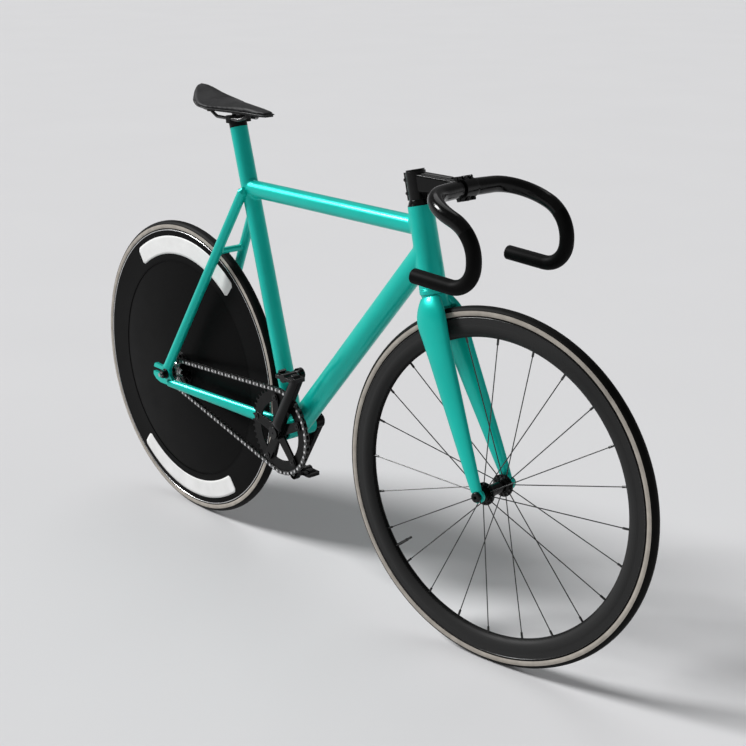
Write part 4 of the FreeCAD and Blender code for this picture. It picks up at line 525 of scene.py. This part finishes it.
def bead_tree(name, material, sides):
    """Tree that carries a round section along the edges of a mesh."""
    group, sockets, start, end = node_group(name, [("Bead radius", "NodeSocketFloat")])
    curve = group.nodes.new("GeometryNodeMeshToCurve")
    section = group.nodes.new("GeometryNodeCurvePrimitiveCircle")
    section.inputs["Resolution"].default_value = sides
    sweep = group.nodes.new("GeometryNodeCurveToMesh")
    sweep.inputs["Fill Caps"].default_value = True
    realize = group.nodes.new("GeometryNodeRealizeInstances")
    finish = group.nodes.new("GeometryNodeSetMaterial")
    finish.inputs["Material"].default_value = material
    link = group.links.new
    link(start.outputs["Geometry"], curve.inputs["Mesh"])
    link(start.outputs["Bead radius"], section.inputs["Radius"])
    link(curve.outputs["Curve"], sweep.inputs["Curve"])
    link(section.outputs["Curve"], sweep.inputs["Profile Curve"])
    link(sweep.outputs["Mesh"], realize.inputs["Geometry"])
    link(realize.outputs["Geometry"], finish.inputs["Geometry"])
    link(finish.outputs["Geometry"], end.inputs["Geometry"])
    return group, sockets


def bright_steel(name, shade, roughness):
    """Metal with fine drawn lines in its sheen."""
    material = new_finish(name, roughness, metallic=1.0)
    vector = coordinates(material)
    set_input(material, "Base Color", colour_ramp(material, noise(material, vector, 90.0, 5.0), [
        (0.3, (shade * 0.7,) * 3), (0.7, (shade,) * 3)]))
    grain = noise(material, coordinates(material, stretch=(1.0, 14.0, 1.0)), 320.0, 3.0)
    set_input(material, "Roughness", value_range(material, grain, 0.3, 0.7, roughness - 0.08, roughness + 0.1))
    set_bump(material, grain, 0.08, 0.0002)
    return material


lip_reach, lip_width, lip_bead = 0.3148, 0.0109, 0.0011
lip_steps, lip_sides = 240, 10
for wheel, place, lip_shade in (("front", front_place, 0.06), ("rear", rear_place, 0.75)):
    lip_alloy = bright_steel(wheel + "_lip_alloy", lip_shade, 0.25)
    lip_tree, lip_sockets = bead_tree(wheel + "_rim_lip", lip_alloy, lip_sides)
    lip_points, lip_edges = [], []
    for side in (-1, 1):
        first = len(lip_points)
        for index in range(lip_steps):
            angle = 2 * math.pi * index / lip_steps
            lip_points.append(place @ Vector((lip_reach * math.cos(angle), side * lip_width,
                                              lip_reach * math.sin(angle))))
            lip_edges.append((first + index, first + (index + 1) % lip_steps))
    lip_path = bpy.data.meshes.new(wheel + "_rim_lip_path")
    lip_path.from_pydata(lip_points, lip_edges, [])
    grown_piece(wheel + "_rim_lip", lip_path, lip_tree, {lip_sockets["Bead radius"]: lip_bead}, wheel + "_wheel")


# Bands on the disc
# Two plain white bands of film on each face of the disc, cut to its curve and pressed on near the rim.

band_white = new_finish("band_white", 0.4, specular=0.3)
band_vector = coordinates(band_white, rear_place)
set_input(band_white, "Base Color", colour_ramp(band_white, noise(band_white, band_vector, 30.0, 5.0), [
    (0.3, (0.74, 0.74, 0.73)), (0.7, (0.82, 0.82, 0.81))]))
set_bump(band_white, noise(band_white, band_vector, 260.0, 2.0), 0.05, 0.0003)


def rear_rim_half(reach):
    """Half width of the rear rim at a distance from the axle."""
    inner_reach, outer_reach, inner_half, outer_half = 0.246, 0.316, 0.0126, 0.0112
    return inner_half + (outer_half - inner_half) * (reach - inner_reach) / (outer_reach - inner_reach)


def disc_band(side, middle, half_angle, low, high):
    """Curved strip that lies on the rim's face, with rounded corners."""
    along, out = 64, 8
    film_face, film_back = 0.00025, 0.00002
    corner_start, corner_share, corner_inset = 0.97, 0.03, 0.006
    points, faces = [], []
    for layer in (film_face, film_back):
        for index in range(along + 1):
            place = 2 * index / along - 1
            angle = middle + half_angle * place
            trim = max(0.0, abs(place) - corner_start) / corner_share
            inset = corner_inset * (1 - math.sqrt(max(0.0, 1 - trim * trim)))
            for step in range(out + 1):
                reach = low + inset + (high - low - 2 * inset) * step / out
                points.append(rear_place @ Vector((reach * math.cos(angle), side * (rear_rim_half(reach) + layer),
                                                   reach * math.sin(angle))))
    count = (along + 1) * (out + 1)
    for index in range(along):
        for step in range(out):
            corner = index * (out + 1) + step
            quad = (corner, corner + 1, corner + out + 2, corner + out + 1)
            faces.append(quad)
            faces.append(tuple(count + point for point in reversed(quad)))
    border = (list(range(out)) + [index * (out + 1) + out for index in range(along)]
              + [along * (out + 1) + step for step in range(out, 0, -1)]
              + [index * (out + 1) for index in range(along, 0, -1)])
    for index, point in enumerate(border):
        after = border[(index + 1) % len(border)]
        faces.append((point, after, count + after, count + point))
    return points, faces


band_middles, band_half_angle = (math.radians(88), math.radians(268)), math.radians(38)
band_low, band_high = 0.262, 0.302
bands = []
for side in (-1, 1):
    for middle in band_middles:
        bands.append(disc_band(side, middle, band_half_angle, band_low, band_high))
new_piece("disc_bands", *join_forms(bands), [band_white], "rear_wheel", "rim_composite")


# Hubs, spokes and valve
# Turned alloy hubs, black radial spokes with black nipples, and a long valve for the deep rim.

dress(polished_black, "front_hub", "rear_hub")
black_spoke = bright_steel("black_spoke", 0.07, 0.24)
dress(black_spoke, "front_spokes", "front_nipples", "front_valve")


# Axles, nuts and bolts
# Steel axles and blackened hardware that hold the wheels in the frame and fork.

axle_steel = bright_steel("axle_steel", 0.50, 0.3)
dress(axle_steel, "rear_axle", "front_axle", "crank_spindle", "pedal_spindles")
dress(black_steel, "rear_axle_nuts", "front_axle_bolts")


# Chain drive
# Steel roller chain on a steel cog with its lockring, and a black alloy chainring.

chain_steel = bright_steel("chain_steel", 0.10, 0.36)
dress(chain_steel, "chain")
dress(bright_steel("cog_steel", 0.85, 0.22), "track_cog", "lockring")
satin_black = worn_black("satin_black", 0.006, 0.34, 0.1)
dress(satin_black, "chainring")
dress(black_steel, "crankset_bolts")


# Crank arms
# Forged arms, polished and anodised black, each crowned along its outer face.

forged_black = worn_black("forged_black", 0.002, 0.17, 0.14)
dress(forged_black, "crank_arm_right", "crank_arm_left")
crank_axle, crank_run, crank_face = Vector((-0.0864, 0.0, 0.302)), Vector((0.5, 0.0, 0.8660)), 0.0612
arm_start, arm_end = 0.0140, 0.1575
arm_halves, arm_crown, arm_fade = (0.0140, 0.0115), 0.0036, 0.014
arm_ridges = []
for side in (-1, 1):
    arm_run = crank_run * -side
    arm_outward = Vector((0, side, 0))
    arm_face = crank_axle + arm_outward * crank_face
    arm_ridges.append(ridge_form(arm_face + arm_run * arm_start, arm_face + arm_run * arm_end,
                                 arm_run.cross(arm_outward), arm_outward, arm_halves, arm_crown, arm_fade))
new_piece("crank_arm_crowns", *join_forms(arm_ridges), [forged_black], "crankset", "black_alloy")


# Outer links of the chain
# Polished side plates and riveted pin ends, which flash along the darker chain.

def separate_solids(node):
    """Corner points of each solid of a CAD node."""
    weld_distance = 1e-6
    build = bmesh.new()
    build.from_mesh(frame["nodes"][node].data)
    bmesh.ops.remove_doubles(build, verts=build.verts, dist=weld_distance)
    solids, seen = [], set()
    for vertex in build.verts:
        if vertex in seen:
            continue
        seen.add(vertex)
        waiting, solid = [vertex], []
        while waiting:
            here = waiting.pop()
            solid.append(here.co.copy())
            for edge in here.link_edges:
                other = edge.other_vert(here)
                if other not in seen:
                    seen.add(other)
                    waiting.append(other)
        solids.append(solid)
    build.free()
    return solids


def stud_tree(name, material, sides):
    """Tree that sets a short prism on each point of a mesh."""
    group, sockets, start, end = node_group(name, [
        ("Stud radius", "NodeSocketFloat"), ("Stud height", "NodeSocketFloat"), ("Turn", "NodeSocketVector")])
    stud = group.nodes.new("GeometryNodeMeshCylinder")
    stud.inputs["Vertices"].default_value = sides
    spread = group.nodes.new("GeometryNodeInstanceOnPoints")
    realize = group.nodes.new("GeometryNodeRealizeInstances")
    finish = group.nodes.new("GeometryNodeSetMaterial")
    finish.inputs["Material"].default_value = material
    link = group.links.new
    link(start.outputs["Stud radius"], stud.inputs["Radius"])
    link(start.outputs["Stud height"], stud.inputs["Depth"])
    link(start.outputs["Turn"], spread.inputs["Rotation"])
    link(start.outputs["Geometry"], spread.inputs["Points"])
    link(stud.outputs["Mesh"], spread.inputs["Instance"])
    link(spread.outputs["Instances"], realize.inputs["Geometry"])
    link(realize.outputs["Geometry"], finish.inputs["Geometry"])
    link(finish.outputs["Geometry"], end.inputs["Geometry"])
    return group, sockets


def set_studs(name, spots, tree, sockets, radius, height, toward, body):
    """Studs on a list of points, with their axes in one direction."""
    mesh = bpy.data.meshes.new(name + "_spots")
    mesh.from_pydata([tuple(spot) for spot in spots], [], [])
    turn = Vector(toward).to_track_quat("Z", "Y").to_euler()
    return grown_piece(name, mesh, tree, {
        sockets["Stud radius"]: radius, sockets["Stud height"]: height, sockets["Turn"]: tuple(turn)},
        body, smooth=False)


def plate_tree(name, material):
    """Tree that sets a waisted side plate, given by its corner points, on each point of a mesh."""
    group, sockets, start, end = node_group(name, [
        ("Plate", "NodeSocketObject"), ("Plate size", "NodeSocketFloat")])
    plate = group.nodes.new("GeometryNodeObjectInfo")
    turn = group.nodes.new("GeometryNodeInputNamedAttribute")
    turn.data_type = "FLOAT_VECTOR"
    turn.inputs["Name"].default_value = "link_turn"
    spread = group.nodes.new("GeometryNodeInstanceOnPoints")
    realize = group.nodes.new("GeometryNodeRealizeInstances")
    finish = group.nodes.new("GeometryNodeSetMaterial")
    finish.inputs["Material"].default_value = material
    link = group.links.new
    link(start.outputs["Plate"], plate.inputs["Object"])
    link(start.outputs["Geometry"], spread.inputs["Points"])
    link(plate.outputs["Geometry"], spread.inputs["Instance"])
    link(turn.outputs["Attribute"], spread.inputs["Rotation"])
    link(start.outputs["Plate size"], spread.inputs["Scale"])
    link(spread.outputs["Instances"], realize.inputs["Geometry"])
    link(realize.outputs["Geometry"], finish.inputs["Geometry"])
    link(finish.outputs["Geometry"], end.inputs["Geometry"])
    return group, sockets


chain_line, pin_reach, plate_face, link_pitch = -0.0445, 0.0044, 0.0042, 0.0127
face_depth = 0.0001
pin_spots, link_spots, link_turns = [], [], []
for link_points in separate_solids("chain"):
    for side in (-1, 1):
        end_face = max(side * (point.y - chain_line) for point in link_points)
        if end_face < pin_reach:
            continue
        rims = [point for point in link_points if side * (point.y - chain_line) > end_face - face_depth]
        far = max(rims, key=lambda point: (point - rims[0]).length)
        ends = []
        for near in (rims[0], far):
            pin_points = [point for point in rims if (point - near).length < link_pitch / 2]
            ends.append(sum(pin_points, Vector()) / len(pin_points))
        pin_spots.extend(ends)
        middle = (ends[0] + ends[1]) / 2
        link_spots.append(Vector((middle.x, chain_line + side * plate_face, middle.z)))
        link_turns.append((0.0, -math.atan2(ends[1].z - ends[0].z, ends[1].x - ends[0].x), 0.0))

link_steel = bright_steel("link_steel", 0.16, 0.3)
plate_points, plate_half, waist_half, end_half, plate_depth = [], link_pitch / 2, 0.0030, 0.0041, 0.00012
end_steps, end_sweep = 8, 115
for end_side in (1, -1):
    for index in range(end_steps + 1):
        angle = math.radians(-end_sweep + 2 * end_sweep * index / end_steps)
        plate_points.append((end_side * (plate_half + end_half * math.cos(angle)),
                             end_side * end_half * math.sin(angle)))
    plate_points.append((0.0, end_side * waist_half))
plate_count = len(plate_points)
plate_mesh = bpy.data.meshes.new("side_plate")
plate_mesh.from_pydata(
    [(x, y, z) for y in (-plate_depth, plate_depth) for x, z in plate_points], [],
    [tuple(range(plate_count)), tuple(range(2 * plate_count - 1, plate_count - 1, -1))]
    + [(index, index + plate_count, (index + 1) % plate_count + plate_count, (index + 1) % plate_count)
       for index in range(plate_count)])
plate_form = bpy.data.objects.new("side_plate", plate_mesh)
bpy.context.scene.collection.objects.link(plate_form)
link_mesh = bpy.data.meshes.new("chain_link_spots")
link_mesh.from_pydata([tuple(spot) for spot in link_spots], [], [])
turns = link_mesh.attributes.new("link_turn", "FLOAT_VECTOR", "POINT")
for entry, value in zip(turns.data, link_turns):
    entry.vector = value
link_tree, link_sockets = plate_tree("chain_side_plates", link_steel)
grown_piece("chain_side_plates", link_mesh, link_tree, {
    link_sockets["Plate"]: plate_form, link_sockets["Plate size"]: 1.0}, "frame", smooth=False)
bpy.data.objects.remove(plate_form)

pin_radius, pin_height, pin_sides = 0.0025, 0.0006, 10
pin_tree, pin_sockets = stud_tree("chain_pins", bright_steel("pin_steel", 0.85, 0.3), pin_sides)
set_studs("chain_pin_heads", pin_spots, pin_tree, pin_sockets, pin_radius, pin_height, (0, -1, 0), "frame")


# Sockets of the bolts
# Six-sided dark caps on the heads of the crank and stem bolts: painted shade that stands for their socket recesses.

socket_sides, socket_height, crank_socket, stem_socket = 6, 0.0004, 0.0027, 0.0018
shortest_crank_bolt, shortest_stem_bolt = 0.004, 0.012
# The caps are painted shade where the bolts' socket recesses would be dark inside.
painted_socket_shade = worn_black("painted_socket_shade", 0.002, 0.5, 0.1)
socket_tree, socket_sockets = stud_tree("bolt_sockets", painted_socket_shade, socket_sides)


def bolt_spots(node, toward, shortest):
    """Middle of each bolt's outer face, for the bolts of a node that reach far enough along a direction."""
    toward = Vector(toward).normalized()
    spots = []
    for solid in separate_solids(node):
        along = [point.dot(toward) for point in solid]
        if max(along) - min(along) < shortest:
            continue
        face = [point for point in solid if point.dot(toward) > max(along) - face_depth]
        spots.append(sum(face, Vector()) / len(face))
    return spots


set_studs("crank_bolt_sockets", bolt_spots("crankset_bolts", (0, -1, 0), shortest_crank_bolt), socket_tree,
          socket_sockets, crank_socket, socket_height, (0, -1, 0), "crankset")
set_studs("stem_bolt_sockets", bolt_spots("stem_bolts", steer_forward, shortest_stem_bolt), socket_tree,
          socket_sockets, stem_socket, socket_height, steer_forward, "steering")


# Pedals
# Moulded bodies that turn on the spindles, each with a sprung steel clip behind.

moulded_grey = worn_black("moulded_grey", 0.003, 0.22, 0.26)
dress(moulded_grey, "pedal_body_right", "pedal_body_left")
dress(black_steel, "pedal_clip_right", "pedal_clip_left")


# Seat mast head and saddle clamp
# A black alloy cap plugs the mast and holds the rails between its cradle and a bolted plate.

dress(satin_black, "seat_mast_cap", "saddle_clamp")
dress(black_steel, "saddle_clamp_bolts")
dress(moulded_grey, "saddle_shell")


# Saddle
# Thin firm foam on a moulded base under a stretched cover of grained black leather cloth.
# The cover is drawn tight over the foam and turned under along the lower edge.

dress(worn_black("rail_black", 0.012, 0.25, 0.7), "saddle_rails")
saddle_cover = new_finish("saddle_cover", 0.48, specular=0.16)
cover_vector = coordinates(saddle_cover)
set_input(saddle_cover, "Base Color", colour_ramp(saddle_cover, noise(saddle_cover, cover_vector, 45.0, 6.0), [
    (0.3, (0.006, 0.006, 0.007)), (0.7, (0.017, 0.017, 0.018))]))
cover_grain = add_node(saddle_cover, "ShaderNodeTexVoronoi", {"Vector": cover_vector, "Scale": 700.0})
set_bump(saddle_cover, cover_grain.outputs["Distance"], 0.35, 0.0004)

rail_height = 0.9215
saddle_tail = -0.25784 - 0.134
saddle_length = 0.244
station_shares = (0.0, 0.05, 0.16, 0.32, 0.47, 0.62, 0.78, 0.92, 0.98, 1.0)
half_widths = (0.014, 0.0265, 0.042, 0.052, 0.041, 0.028, 0.018, 0.0155, 0.012, 0.007)
top_rises = (0.0590, 0.0580, 0.0466, 0.0342, 0.0320, 0.0315, 0.0295, 0.0255, 0.0230, 0.0210)
edge_rises = (0.0325, 0.0280, 0.0216, 0.0182, 0.0168, 0.0160, 0.0150, 0.0150, 0.0154, 0.0162)
flank_line = ((0.0, 0.02), (0.45, 0.02), (0.84, 0.02), (0.95, 0.07), (0.995, 0.20), (0.985, 0.36), (0.91, 0.56),
              (0.74, 0.76), (0.50, 0.90), (0.25, 0.975), (0.0, 1.0))


def smooth_curve(shares, values, share):
    """Value on a smooth line through the stations, with no overshoot."""
    shares = np.array(shares)
    values = np.array(values)
    slopes = np.gradient(values, shares)
    index = int(np.clip(np.searchsorted(shares, share) - 1, 0, len(shares) - 2))
    width = shares[index + 1] - shares[index]
    t = (share - shares[index]) / width
    return float(values[index] * (1 + 2 * t) * (1 - t) ** 2 + slopes[index] * width * t * (1 - t) ** 2
                 + values[index + 1] * t * t * (3 - 2 * t) + slopes[index + 1] * width * t * t * (t - 1))


def saddle_sizes(share):
    """Place, half width, top and lower edge of the saddle at a share of its length."""
    half = smooth_curve(station_shares, half_widths, share)
    top = rail_height + smooth_curve(station_shares, top_rises, share)
    edge = rail_height + smooth_curve(station_shares, edge_rises, share)
    return saddle_tail + saddle_length * share, half, top, edge


def saddle_row(share, half_columns):
    """Section across the saddle: a turned-under edge, full flanks and a crowned top."""
    along, half, top, edge = saddle_sizes(share)
    places = np.linspace(0, 1, len(flank_line))
    right = []
    for index in range(half_columns + 1):
        place = index / half_columns
        width = smooth_curve(places, [point[0] for point in flank_line], place)
        rise = smooth_curve(places, [point[1] for point in flank_line], place)
        right.append(Vector((along, -half * max(width, 0.0), edge + (top - edge) * rise)))
    left = [Vector((point.x, -point.y, point.z)) for point in right[-2:0:-1]]
    return right + left


saddle_rows, half_columns = 72, 32
saddle_points = []
for index in range(saddle_rows + 1):
    saddle_points.extend(saddle_row(0.5 - 0.5 * math.cos(math.pi * index / saddle_rows), half_columns))
saddle_columns = 2 * half_columns
saddle_faces = loft_faces(saddle_rows + 1, saddle_columns, False)
saddle_faces.append(tuple(range(saddle_columns)))
saddle_faces.append(tuple(range(saddle_rows * saddle_columns, (saddle_rows + 1) * saddle_columns)))


def drawn_cover(points, faces):
    """The form under its cover: a cloth held along the lower edge and blown tight over the foam."""
    voxel, slack, cap, last_frame = 0.004, 0.0012, 0.005, 20
    ease, ease_rounds, held_share, pressure, least_move = 0.5, 3, 0.22, 4.0, 1e-9
    mesh = bpy.data.meshes.new("saddle_form")
    mesh.from_pydata([tuple(point) for point in points], [], faces)
    form = bpy.data.objects.new("saddle_form", mesh)
    bpy.context.scene.collection.objects.link(form)
    even = form.modifiers.new("even", "REMESH")
    even.mode = "VOXEL"
    even.voxel_size = voxel
    depsgraph = bpy.context.evaluated_depsgraph_get()
    form.data = bpy.data.meshes.new_from_object(form.evaluated_get(depsgraph))
    form.modifiers.clear()
    relaxed = form.modifiers.new("relaxed", "SMOOTH")
    relaxed.factor, relaxed.iterations = ease, ease_rounds
    depsgraph = bpy.context.evaluated_depsgraph_get()
    form.data = bpy.data.meshes.new_from_object(form.evaluated_get(depsgraph))
    form.modifiers.clear()
    mesh = form.data
    held = form.vertex_groups.new(name="held")
    for vertex in mesh.vertices:
        share = min(max((vertex.co.x - saddle_tail) / saddle_length, 0.0), 1.0)
        along, half, top, edge = saddle_sizes(share)
        if vertex.co.z < edge + held_share * (top - edge):
            held.add([vertex.index], 1.0, "REPLACE")
        else:
            vertex.co -= vertex.normal * slack
    before = np.array([vertex.co[:] for vertex in mesh.vertices])
    cloth = form.modifiers.new("cover", "CLOTH")
    cloth.settings.use_pressure = True
    cloth.settings.uniform_pressure_force = pressure
    cloth.settings.vertex_group_mass = "held"
    cloth.settings.effector_weights.gravity = 0.0
    cloth.collision_settings.use_collision = False
    cloth.point_cache.frame_start, cloth.point_cache.frame_end = 1, last_frame
    for step in range(1, last_frame + 1):
        bpy.context.scene.frame_set(step)
    blown = form.evaluated_get(bpy.context.evaluated_depsgraph_get()).data
    after = np.array([vertex.co[:] for vertex in blown.vertices])
    form.modifiers.clear()
    bpy.context.scene.frame_set(1)
    move = after - before
    size = np.linalg.norm(move, axis=1)
    held_in = before + move * np.minimum(1.0, cap / np.maximum(size, least_move))[:, None]
    for vertex, place in zip(mesh.vertices, held_in):
        vertex.co = place
    finer = form.modifiers.new("finer", "SUBSURF")
    finer.levels = finer.render_levels = 1
    final = bpy.data.meshes.new_from_object(form.evaluated_get(bpy.context.evaluated_depsgraph_get()))
    form.modifiers.clear()
    bpy.data.objects.remove(form)
    return [vertex.co.copy() for vertex in final.vertices], [tuple(face.vertices) for face in final.polygons]


saddle = new_piece("saddle_cover", *drawn_cover(saddle_points, saddle_faces), [saddle_cover], "frame", "saddle_cover")
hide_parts("saddle_cushion")

hem_steps, hem_inset, hem_rise, hem_bead, hem_sides = 90, 0.955, 0.045, 0.0012, 8
hem_points = []
for side in (-1, 1):
    shares = [0.5 - 0.5 * math.cos(math.pi * index / hem_steps) for index in range(hem_steps + 1)]
    for share in (shares if side < 0 else shares[::-1]):
        along, half, top, edge = saddle_sizes(share)
        hem_points.append(Vector((along, side * half * hem_inset, edge + hem_rise * (top - edge))))
hem_path = bpy.data.meshes.new("saddle_hem_path")
hem_path.from_pydata(hem_points, [(index, (index + 1) % len(hem_points)) for index in range(len(hem_points))], [])
hem_cloth = worn_black("hem_cloth", 0.010, 0.4, 0.35)
hem_tree, hem_sockets = bead_tree("saddle_hem", hem_cloth, hem_sides)
grown_piece("saddle_hem", hem_path, hem_tree, {hem_sockets["Bead radius"]: hem_bead}, "frame")


# Studio
# A pale floor that runs out of sight, two soft lamps, and a room that is as pale as the floor at the
# horizon and darker above, so that black pieces keep their depth.

def even_surface(name, colour, roughness):
    """Matt surface whose colour hardly changes."""
    material = new_finish(name, roughness, specular=0.2)
    vector = coordinates(material)
    set_input(material, "Base Color", colour_ramp(material, noise(material, vector, 1.5, 2.0), [
        (0.3, tuple(0.985 * part for part in colour)), (0.7, colour)]))
    return material


floor_reach = 80.0
floor_mesh = bpy.data.meshes.new("floor")
floor_mesh.from_pydata([(-floor_reach, -floor_reach, 0), (floor_reach, -floor_reach, 0),
                        (floor_reach, floor_reach, 0), (-floor_reach, floor_reach, 0)], [], [(0, 1, 2, 3)])
floor_mesh.materials.append(even_surface("pale_floor", (0.70, 0.70, 0.71), 0.9))
floor = bpy.data.objects.new("floor", floor_mesh)
bpy.context.scene.collection.objects.link(floor)


def soft_lamp(name, toward, strength, spread):
    """Broad even lamp far away, seen from the object in one direction."""
    lamp = bpy.data.lights.new(name, "SUN")
    lamp.energy = strength
    lamp.angle = math.radians(spread)
    holder = bpy.data.objects.new(name, lamp)
    holder.rotation_euler = Vector(toward).to_track_quat("Z", "Y").to_euler()
    bpy.context.scene.collection.objects.link(holder)


soft_lamp("key_lamp", toward=(-0.66, -0.46, 0.60), strength=3.6, spread=18.0)
soft_lamp("top_lamp", toward=(-0.45, 0.35, 0.82), strength=0.5, spread=40.0)

world = bpy.data.worlds.new("room")
world.use_nodes = True
background = world.node_tree.nodes["Background"]
direction = add_node(world, "ShaderNodeTexCoord").outputs["Generated"]
height = add_node(world, "ShaderNodeSeparateXYZ", {0: direction}).outputs["Z"]
horizon, ceiling = -0.02, 0.25
room = colour_ramp(world, value_range(world, height, horizon, ceiling, 0.0, 1.0), [
    (0.0, (0.70, 0.70, 0.71)), (1.0, (0.17, 0.17, 0.172))])
world.node_tree.links.new(room, background.inputs["Color"])
bpy.context.scene.world = world
bpy.context.scene.view_settings.view_transform = "Standard"

camera_data = bpy.data.cameras.new("camera")
camera_data.sensor_width = 36.0
camera_data.lens = 69.83
camera = bpy.data.objects.new("camera", camera_data)
camera.location = (2.16067, -1.70916, 1.34925)
camera.rotation_euler = (math.radians(71.6982), math.radians(0.3451), math.radians(49.4137))
bpy.context.scene.collection.objects.link(camera)
bpy.context.scene.camera = camera
